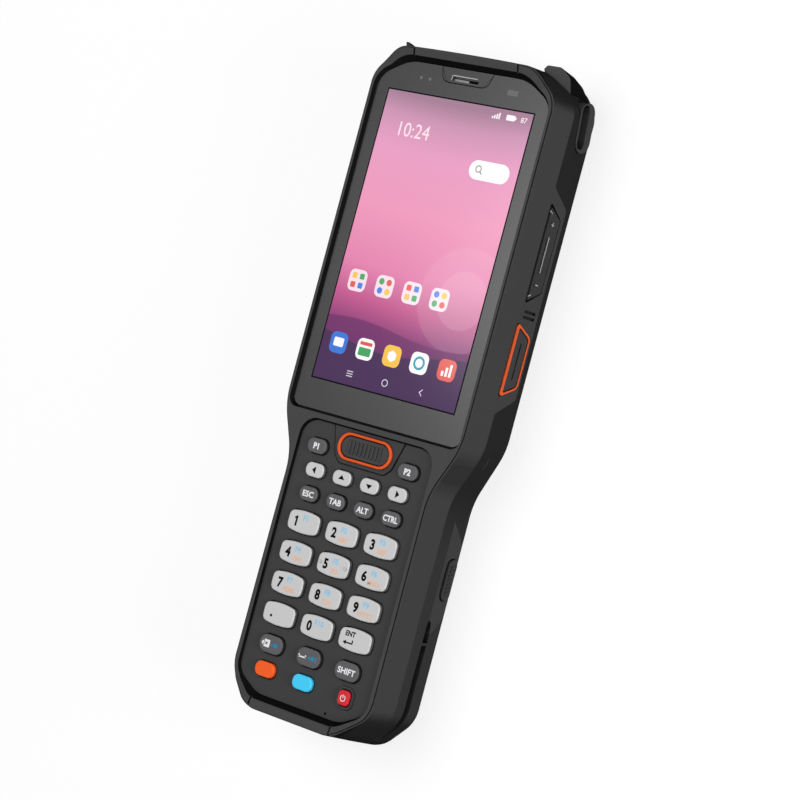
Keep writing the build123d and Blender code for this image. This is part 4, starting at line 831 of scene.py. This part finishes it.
# ---- the screen
@dataclass
class ScreenPicture:
    """The lit picture on the display, laid on the glass, the marks printed in its border and painted
    highlight and shadow by the earpiece.

    Sizes and places are in millimetres from the middle of the screen.
    """

    paints: Paints
    half_width: float = 25.92
    half_length: float = 43.2
    border: float = 0.42
    shortcut_row: float = -13.2
    shortcut_columns: tuple[float, ...] = (-19.0, -9.0, 1.0, 11.0)
    shortcut_size: float = 6.4
    dot_offset: float = 1.35
    dock_row: float = -32.0
    dock_column: float = 9.9
    dock_size: float = 6.2
    sign_row: float = -39.9
    sign_column: float = 13.0
    sign_line: float = 0.25
    joint_line: float = 0.26
    joint: tuple[Point, ...] = ((0.15, 4.3), (1.0, 1.5), (1.7, 0.6), (2.7, 0.12), (4.6, 0.06))
    sky: tuple[tuple[float, Colour], ...] = (
        (0.0, linear(62, 46, 92)),
        (0.12, linear(92, 50, 106)),
        (0.22, linear(146, 62, 122)),
        (0.30, linear(194, 88, 142)),
        (0.42, linear(228, 132, 176)),
        (0.62, linear(238, 154, 188)),
        (0.82, linear(232, 158, 196)),
        (0.93, linear(206, 148, 180)),
        (1.0, linear(166, 126, 150)),
    )
    press: Press = field(init=False)
    lower: Press = field(init=False)
    upper: Press = field(init=False)

    def __post_init__(self) -> None:
        """Stand the presses on the middle of the glass, on its face and two and three prints above it."""
        low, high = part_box("touch_glass")
        centre = (low + high) / 2
        self.press = Press(self.paints, (centre.x, centre.y, high.z))
        self.lower = self.press.raised(2)
        self.upper = self.press.raised(3)

    def build(self) -> list[Object]:
        """Make every piece of the picture.

        Returns:
            The pieces, each already riding on the terminal.
        """
        pieces = [self._border(), self._wallpaper(), self._status_bar(), self._clock(), self._shortcuts(),
                  self._dock(), self._navigation(), self._glass_marks(), self._earpiece_marks()]
        for piece in pieces:
            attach(piece, BODY)
        return pieces

    def _border(self) -> Object:
        """Black line round the lit area."""
        width, length = 2 * (self.half_width + self.border), 2 * (self.half_length + self.border)
        return join([self.press.tile(0, 0, width, length, BLACK_LINE)], "display_border")

    def _wallpaper(self) -> Object:
        """Lit rectangle with the wallpaper."""
        x, y, _ = self.press.middle
        across, along = self.half_width * MM, self.half_length * MM
        finish = Wallpaper("wallpaper", low=(x - across, y - along), high=(x + across, y + along),
                           sky=self.sky)
        sheet = self.press.raised(1).tile(0, 0, 2 * self.half_width, 2 * self.half_length, finish)
        return join([sheet], "screen_wallpaper")

    def _status_bar(self) -> Object:
        """Level bars, a battery sign and its charge in the top corner."""
        white = Lit("status_white", linear(250, 246, 250))
        made = []
        for index in range(4):
            height = 0.6 + 0.4 * index
            made.append(self.lower.tile(12.4 + 0.75 * index, 40.2 + height / 2, 0.5, height, white))
        made.append(self.lower.tile(18.6, 41.1, 3.0, 1.6, white, corner=0.3))
        made.append(self.lower.tile(20.35, 41.1, 0.4, 0.8, white))
        made.append(self.lower.text("87", 23.2, 41.1, 1.6, white))
        return join(made, "screen_status_bar")

    def _clock(self) -> Object:
        """Plain time of day on the left and a white search bar with a lens sign on the right."""
        white = Lit("clock_white", linear(252, 226, 238))
        bar = Lit("search_white", linear(250, 250, 250))
        grey = Lit("search_grey", linear(150, 150, 156))
        made = [self.lower.text("10:24", -13.6, 32.6, 4.4, white, stretch=0.92),
                self.lower.tile(16.2, 25.0, 14.0, 5.6, bar, corner=2.79),
                self.upper.ring(12.4, 25.3, 1.1, 0.35, grey),
                self.upper.tile(13.4, 24.3, 1.1, 0.4, grey, turn=-math.pi / 4)]
        return join(made, "screen_clock")

    def _shortcuts(self) -> Object:
        """Row of four pale rounded squares, each with four small coloured squares or dots."""
        ground = Lit("folder_ground", linear(244, 222, 232))
        colours = [Lit("tile_red", linear(226, 78, 62)), Lit("tile_blue", linear(58, 120, 224)),
                   Lit("tile_yellow", linear(246, 196, 62)), Lit("tile_green", linear(58, 164, 92))]
        size, row = self.shortcut_size, self.shortcut_row
        made = []
        for index, x in enumerate(self.shortcut_columns):
            made.append(self.lower.tile(x, row, size, size, ground, corner=1.7))
            for corner, (side, end) in enumerate(((-1, -1), (1, -1), (-1, 1), (1, 1))):
                place = (x + side * self.dot_offset, row + end * self.dot_offset)
                tint = colours[(corner + index) % len(colours)]
                if index % 2:
                    made.append(self.upper.disc(*place, 0.95, tint))
                else:
                    made.append(self.upper.tile(*place, 1.7, 1.7, tint, corner=0.3))
        return join(made, "screen_shortcuts")

    def _dock(self) -> Object:
        """Row of plain icons over the waves."""
        white = Lit("icon_white", linear(248, 248, 248))
        blue = Lit("icon_blue", linear(32, 110, 214))
        red = Lit("icon_red", linear(222, 70, 56))
        green = Lit("icon_green", linear(44, 156, 86))
        amber = Lit("icon_amber", linear(246, 190, 52))
        teal = Lit("icon_teal", linear(30, 150, 176))
        near, row, upper = self.dock_column, self.dock_row, self.upper
        far = 2 * near

        def ground(x: float, tint: Finish) -> Object:
            """Rounded square under one icon."""
            return self.lower.tile(x, row, self.dock_size, self.dock_size, tint, corner=1.8)
        made = [ground(-far, blue), upper.tile(-far, row + 0.2, 3.6, 2.6, white, corner=0.4),
                ground(-near, white), upper.tile(-near, row + 1.6, 4.4, 1.0, red, corner=0.2),
                upper.tile(-near, row - 0.8, 4.4, 2.4, green, corner=0.3),
                ground(0, amber), upper.disc(0, row, 1.7, white, sides=6),
                ground(near, white), upper.ring(near, row, 2.0, 0.7, teal), ground(far, red)]
        for side, height in ((-1, 1.4), (0, 2.6), (1, 3.6)):
            made.append(upper.tile(far + 1.3 * side, row - 1.8 + height / 2, 0.8, height, white))
        return join(made, "screen_dock")

    def _navigation(self) -> Object:
        """Three plain signs along the foot of the screen."""
        white = Lit("navigation_white", linear(222, 214, 230))
        column, row, line = self.sign_column, self.sign_row, self.sign_line
        made = [self.lower.tile(-column, row + shift, 2.2, line, white) for shift in (-0.7, 0.0, 0.7)]
        made.append(self.lower.ring(0, row, 1.1, line, white))
        for side in (1, -1):
            made.append(self.lower.tile(column, row + side * 0.42, 1.5, line, white, turn=side * math.pi / 4))
        return join(made, "screen_navigation")

    def _glass_marks(self) -> Object:
        """Sensor windows behind the glass: two dots and a small rectangle."""
        made = [self.press.disc(x, 48.0, 0.5, DARK_SPOT) for x in (-15.7, -12.5)]
        made.append(self.press.tile(17.1, 48.1, 3.8, 1.6, DARK_SPOT, corner=0.3))
        return join(made, "sensor_windows")

    def _earpiece_marks(self) -> Object:
        """Dark joint round the earpiece bezel, painted highlights on two edges and painted shadow in part of
        its slot.
        """
        low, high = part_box("earpiece_bezel")
        slot_low, slot_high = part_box("earpiece_mesh")
        foot = Press(self.paints, ((low.x + high.x) / 2, low.y, high.z))
        slot = replace(foot, middle=(*foot.middle[:2], slot_high.z))
        half, line = foot.measure(high)[0], self.joint_line
        left, below = foot.measure(slot_low)
        right, above = foot.measure(slot_high)
        made = []
        for side in (1, -1):
            places = [(side * (x - half), y) for x, y in self.joint]
            made += [foot.stroke(a, b, line, BLACK_INK_AND_SHADOW) for a, b in zip(places, places[1:])]
        made.append(foot.stroke((-4.8, 0.06), (4.8, 0.06), line, BLACK_INK_AND_SHADOW))
        corner, middle, top = (left - 0.35, above + 0.42), (below + above) / 2, above - 0.25
        # Painted highlights along the top and left edges of the bezel.
        made.append(foot.stroke(corner, (4.0, corner[1]), line, PAINTED_HIGHLIGHT))
        made.append(foot.stroke(corner, (corner[0] - 0.05, below + 0.2), line, PAINTED_HIGHLIGHT))
        # Painted shadow: black over the right part of the slot and along the top of its left part.
        made.append(slot.stroke((1.0, middle), (right - 0.3, middle), above - below - 0.2, BLACK_INK_AND_SHADOW))
        made.append(slot.stroke((left + 0.3, top), (1.0, top), 0.3, BLACK_INK_AND_SHADOW))
        return join(made, "earpiece_marks")


# ---- the key legends
@dataclass
class KeyLegends:
    """Printed legend of every key, each riding on its own key.

    Sizes and places are in millimetres from the middle of a key's top. A word has a weight and a width.
    """

    paints: Paints
    digit_height: float = 2.85
    digit_place: float = -2.6
    shift_height: float = 1.6
    letter_height: float = 1.36
    word_height: float = 1.75
    arrow_size: float = 1.3
    letters: dict[str, str] = field(default_factory=lambda: {
        "2": "ABC", "3": "DEF", "4": "GHI", "5": "JKL", "6": "MNO", "7": "PQRS", "8": "TUV", "9": "WXYZ"})
    words: dict[str, tuple[str, float, float]] = field(default_factory=lambda: {
        "p1": ("P1", 0.045, 0.97), "p2": ("P2", 0.045, 0.97), "esc": ("ESC", 0.03, 1.04),
        "tab": ("TAB", 0.03, 1.0), "alt": ("ALT", 0.03, 0.97), "ctrl": ("CTRL", 0.03, 0.9),
        "shift": ("SHIFT", 0.03, 1.04)})
    arrows: dict[str, float] = field(default_factory=lambda: {
        "left": math.pi, "up": math.pi / 2, "down": -math.pi / 2, "right": 0.0})

    def build(self) -> list[Object]:
        """Print every key's legend.

        Returns:
            One piece for each key that has a legend.
        """
        pieces = [self._finish(name, self._digit(name)) for name in "1234567890"]
        for name, (word, bold, stretch) in self.words.items():
            mark = self._press(name).text(word, 0, 0, self.word_height, WHITE_INK, bold=bold, stretch=stretch)
            pieces.append(self._finish(name, [mark]))
        for name, turn in self.arrows.items():
            mark = self._press(name).arrow(0, 0, self.arrow_size, turn, BLACK_INK_AND_SHADOW, reach=0.66)
            pieces.append(self._finish(name, [mark]))
        for name, prints in (("dot", self._dot), ("enter", self._enter), ("backspace", self._backspace),
                             ("space", self._space), ("power", self._power)):
            pieces.append(self._finish(name, prints(self._press(name))))
        return pieces

    def _press(self, name: str) -> Press:
        """Press on a key's top; the five has a raised dot, so its height is read from the key beside it."""
        low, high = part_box(f"key_{name}")
        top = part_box("key_4")[1].z if name == "5" else high.z
        return Press(self.paints, ((low.x + high.x) / 2, (low.y + high.y) / 2, top))

    @staticmethod
    def _finish(name: str, prints: list[Object]) -> Object:
        """Join a key's prints and let them ride on the key."""
        piece = join(prints, f"legend_{name}")
        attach(piece, f"key_{name}_body")
        return piece

    def _digit(self, name: str) -> list[Object]:
        """Large digit, a small function number and small letters; the one has a heavier flag."""
        press, place = self._press(name), self.digit_place
        number = "F10" if name == "0" else f"F{name}"
        prints = [press.text(name, place, 0, self.digit_height, BLACK_INK_AND_SHADOW, bold=0.045, stretch=0.88)]
        if name == "1":
            prints.append(press.tile(place - 0.35, 0.95, 0.95, 0.42, BLACK_INK_AND_SHADOW, turn=math.radians(38)))
        prints.append(press.text(number, 0.7, 1.3, self.shift_height, BLUE_INK, bold=0.03))
        if name in self.letters:
            prints.append(press.text(self.letters[name], 1.1, -1.45, self.letter_height, ORANGE_INK,
                                     bold=0.025))
        return prints

    def _dot(self, press: Press) -> list[Object]:
        """Full stop."""
        return [press.disc(self.digit_place, -0.9, 0.42, BLACK_INK_AND_SHADOW)]

    def _enter(self, press: Press) -> list[Object]:
        """Short word over a bent arrow."""
        return [press.text("ENT", -1.9, 1.5, 1.5, BLACK_INK_AND_SHADOW, bold=0.035, stretch=0.92),
                press.tile(-1.9, -1.2, 2.6, 0.4, BLACK_INK_AND_SHADOW),
                press.tile(-0.6, -0.75, 0.4, 1.2, BLACK_INK_AND_SHADOW),
                press.arrow(-3.2, -1.2, 0.75, math.pi, BLACK_INK_AND_SHADOW)]

    @staticmethod
    def _speaker_sign(press: Press, x: float, waves: int) -> list[Object]:
        """Small blue sign of a sound horn with wave lines."""
        prints = [press.arrow(x - 0.2, 0, 0.95, math.pi, BRIGHT_BLUE_INK),
                  press.tile(x - 1.2, 0, 0.7, 0.6, BRIGHT_BLUE_INK)]
        for index in range(waves):
            prints.append(press.tile(x + 0.75 + 0.5 * index, 0, 0.22, 0.9 + 0.7 * index, BRIGHT_BLUE_INK))
        return prints

    def _backspace(self, press: Press) -> list[Object]:
        """White erase sign with a grey cross and a blue sound sign."""
        prints = [press.tile(-1.5, 0, 2.2, 2.2, WHITE_INK, corner=0.25),
                  press.arrow(-2.75, 0, 1.2, math.pi, WHITE_INK, reach=0.6)]
        for side in (1, -1):
            prints.append(press.raised(1).tile(-1.6, 0, 1.25, 0.24, GREY_INK, turn=side * math.pi / 4))
        return prints + self._speaker_sign(press, 1.9, 1)

    def _space(self, press: Press) -> list[Object]:
        """White bracket for the space and a blue sound sign."""
        prints = [press.tile(-2.2, -0.3, 2.8, 0.4, WHITE_INK)]
        prints += [press.tile(-2.2 + side * 1.2, 0, 0.4, 0.8, WHITE_INK) for side in (-1, 1)]
        return prints + self._speaker_sign(press, 1.7, 2)

    def _power(self, press: Press) -> list[Object]:
        """Ring with a short stroke through a gap in its top."""
        return [press.ring(0, -0.1, 0.95, 0.22, WHITE_INK),
                press.raised(1).tile(0, 0.75, 0.75, 0.5, RED_KEY),
                press.raised(2).tile(0, 0.5, 0.22, 1.0, WHITE_INK)]


# ---- painted highlights on the volume rocker
@dataclass
class RockerHighlights:
    """Painted highlights: light lines on the raised parts and the slanted ends of the volume rocker."""

    paints: Paints
    thickness: float = 0.03 * MM
    ridge_length: float = 10.4 * MM
    line: float = 0.3 * MM
    mark: float = 1.2 * MM
    mark_spacing: float = 17.6 * MM
    end_line: float = 2.6 * MM
    end_width: float = 0.24 * MM
    end_across: float = 1.3 * MM
    end_inset: float = 1.6 * MM
    end_lean: float = 66.0
    slant: float = 0.6 * MM

    def build(self) -> Object:
        """Lay every line on the rocker.

        Returns:
            The joined piece, riding on the rocker.
        """
        low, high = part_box("volume_rocker")
        y, z = (low.y + high.y) / 2, (low.z + high.z) / 2
        made = [self._line(high.x, y, z + self.line / 2, self.ridge_length, self.line)]
        sunk = high.x - self.slant * (0.5 + self.end_across / (high.z - low.z))
        for side in (1, -1):
            place = y + side * self.mark_spacing / 2
            made.append(self._line(high.x, place, z, self.line, self.mark))
            if side > 0:
                made.append(self._line(high.x, place, z, self.mark, self.line))
            end = (high.y if side > 0 else low.y) - side * self.end_inset
            made.append(self._line(sunk + 2 * self.thickness, end, z + self.end_across, self.end_line,
                                   self.end_width, side * self.end_lean))
        piece = join(made, "rocker_painted_highlights")
        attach(piece, "volume_rocker_body")
        return piece

    def _line(self, x: float, y: float, z: float, along: float, across: float,
              lean: float = 0.0) -> Object:
        """Thin raised line of painted highlight on a side face, turned about the side's own axis."""
        clear_selection()
        bpy.ops.mesh.primitive_cube_add(size=1, location=(x, y, z), rotation=(math.radians(lean), 0, 0))
        piece = bpy.context.object
        piece.scale = (self.thickness, along, across)
        settle(piece)
        paint(piece, self.paints.of(PAINTED_HIGHLIGHT))
        return piece


# ---- carried-over nodes
@dataclass
class Housing:
    """Finishes of the nodes that are shown as they were built."""

    paints: Paints
    white_keys: tuple[str, ...] = ("left", "up", "down", "right", "dot", "enter", *"1234567890")
    finishes: dict[str, Finish] = field(default_factory=lambda: {
        "front_cover": RIM, "top_end_cap": RIM, "bottom_end_cap": RIM, "rear_cover": SHELL,
        "corner_bumper_right": RUBBER, "corner_bumper_left": RUBBER, "volume_rocker": ROCKER,
        "battery_latch_right": LATCH, "battery_latch_left": LATCH, "battery_pack": SHELL,
        "keypad_panel": PANEL, "scan_key": SCAN_KEY, "scan_key_ring": ORANGE_TRIM,
        "trigger_ring_right": ORANGE_TRIM, "trigger_ring_left": ORANGE_TRIM,
        "side_trigger_right": RIM, "side_trigger_left": RIM,
        "key_orange": ORANGE_KEY, "key_blue": BLUE_KEY, "key_power": RED_KEY,
        "touch_glass": GLASS, "earpiece_bezel": EARPIECE, "earpiece_mesh": MESH,
        "scan_window": SCAN_GLASS, "display_panel": MATTE_BLACK, "display_frame": ALLOY,
        "keypad_board": BOARD, "main_board": BOARD, "housing_screws": STEEL,
        "port_connector": STEEL, "charge_contacts": GOLD, "scan_engine": MATTE_BLACK,
        "camera_module": MATTE_BLACK, "loudspeaker": MATTE_BLACK})

    def dress(self, nodes: dict[str, Object]) -> None:
        """Give every node its material; a key that isn't listed is white or grey.

        Args:
            nodes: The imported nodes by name.
        """
        for name, node in nodes.items():
            finish = self.finishes.get(name)
            if finish is None:
                finish = WHITE_KEY if name.removeprefix("key_") in self.white_keys else GREY_KEY
            paint(node, self.paints.of(finish))
            LOG.info("node %s: %s", name, finish.name)


# ---- camera, light and floor
@dataclass(frozen=True)
class Lamp:
    """Soft square lamp that points at a place; metres and watts."""

    name: str
    place: Place
    aim: Place
    size: float
    power: float

    def hang(self) -> None:
        """Put the lamp into the scene."""
        lamp = bpy.data.lights.new(self.name, "AREA")
        lamp.energy = self.power
        lamp.size = self.size
        holder = bpy.data.objects.new(self.name, lamp)
        holder.location = self.place
        holder.rotation_euler = (Vector(self.aim) - Vector(self.place)).to_track_quat("-Z", "Y").to_euler()
        bpy.context.scene.collection.objects.link(holder)


@dataclass
class Studio:
    """Camera, lamps, world and floor."""

    focal_pixels: float = 2581.3
    frame_pixels: float = 800.0
    yaw: float = -36.10
    pitch: float = 0.21
    roll: float = -15.01
    shift_x: float = 5.9675 * MM
    shift_y: float = 43.3638 * MM
    distance: float = 735.80 * MM
    sensor: float = 36.0
    lamps: tuple[Lamp, ...] = (Lamp("key", (-0.165, 0.12, 0.82), (0.0, 0.0, 0.0), 0.55, 4.9),
                               Lamp("fill", (0.78, -0.02, 0.24), (0.0, 0.0, 0.01), 0.4, 5.4))
    world_light: float = 0.12
    floor_glow: float = 0.82
    floor_size: float = 40.0
    floor_gap: float = 0.02 * MM
    floor_tones: tuple[Colour, Colour] = ((0.19, 0.19, 0.19), (0.21, 0.21, 0.21))
    floor_roughness: float = 0.8

    def build(self) -> None:
        """Make the whole studio."""
        self._camera()
        for lamp in self.lamps:
            lamp.hang()
        self._world()
        self._floor()

    def _camera(self) -> None:
        """Camera that looks at the screen from its right, turned with the terminal."""
        low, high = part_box("touch_glass")
        aim = Vector(((low.x + high.x) / 2, (low.y + high.y) / 2, high.z))
        turn = (Matrix.Rotation(math.radians(self.roll), 3, "Z")
                @ Matrix.Rotation(math.radians(self.pitch), 3, "X")
                @ Matrix.Rotation(math.radians(self.yaw), 3, "Y"))
        back = turn.transposed()
        place = aim - back @ Vector((self.shift_x, self.shift_y, -self.distance))
        camera = bpy.data.cameras.new("camera")
        camera.sensor_width = self.sensor
        camera.lens = self.focal_pixels * self.sensor / self.frame_pixels
        camera.clip_start = 0.01
        holder = bpy.data.objects.new("camera", camera)
        bpy.context.scene.collection.objects.link(holder)
        holder.matrix_world = Matrix.Translation(place) @ back.to_4x4()
        bpy.context.scene.camera = holder

    def _world(self) -> None:
        """Plain world: white where it is seen or mirrored, softer where it lights."""
        world = bpy.data.worlds.new("studio")
        bpy.context.scene.world = world
        world.use_nodes = True
        wiring = Wiring(world.node_tree)
        strength = wiring.math("ADD", wiring.times(wiring.seen(), 1 - self.world_light), self.world_light)
        wiring.fill(world.node_tree.nodes["Background"], Color=(1.0, 1.0, 1.0), Strength=strength)

    def _floor(self) -> None:
        """Pale floor that keeps the terminal's shadow."""
        clear_selection()
        bpy.ops.mesh.primitive_plane_add(size=self.floor_size, location=(0, 0, -self.floor_gap))
        floor = bpy.context.object
        floor.name = "floor"
        settle(floor)
        material, wiring, shader = Finish("floor_white").start()
        tone = wiring.noise(wiring.place(), 3.0, 2.0)
        wiring.fill(shader, Base_Color=wiring.mix(tone, *self.floor_tones), Roughness=self.floor_roughness,
                    Specular_IOR_Level=0.0)
        glow = wiring.node("ShaderNodeEmission", Color=(1.0, 1.0, 1.0),
                           Strength=wiring.times(wiring.seen(), self.floor_glow))
        both = wiring.tree.nodes.new("ShaderNodeAddShader")
        wiring.feed(both.inputs[0], shader.outputs[0])
        wiring.feed(both.inputs[1], glow.outputs[0])
        wiring.feed(material.node_tree.nodes["Material Output"].inputs["Surface"], both.outputs[0])
        paint(floor, material)


def main() -> None:
    """Dress the terminal and set up its studio."""
    logging.basicConfig(level=logging.INFO, format="%(name)s: %(message)s")
    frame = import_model()
    clear_selection()
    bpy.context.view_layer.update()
    paints = Paints()
    Housing(paints).dress(frame["nodes"])
    for piece in ScreenPicture(paints).build() + KeyLegends(paints).build() + [RockerHighlights(paints).build()]:
        LOG.info("piece %s", piece.name)
    Studio().build()
    bpy.context.scene.view_settings.view_transform = "Standard"


if __name__ == "__main__":
    main()
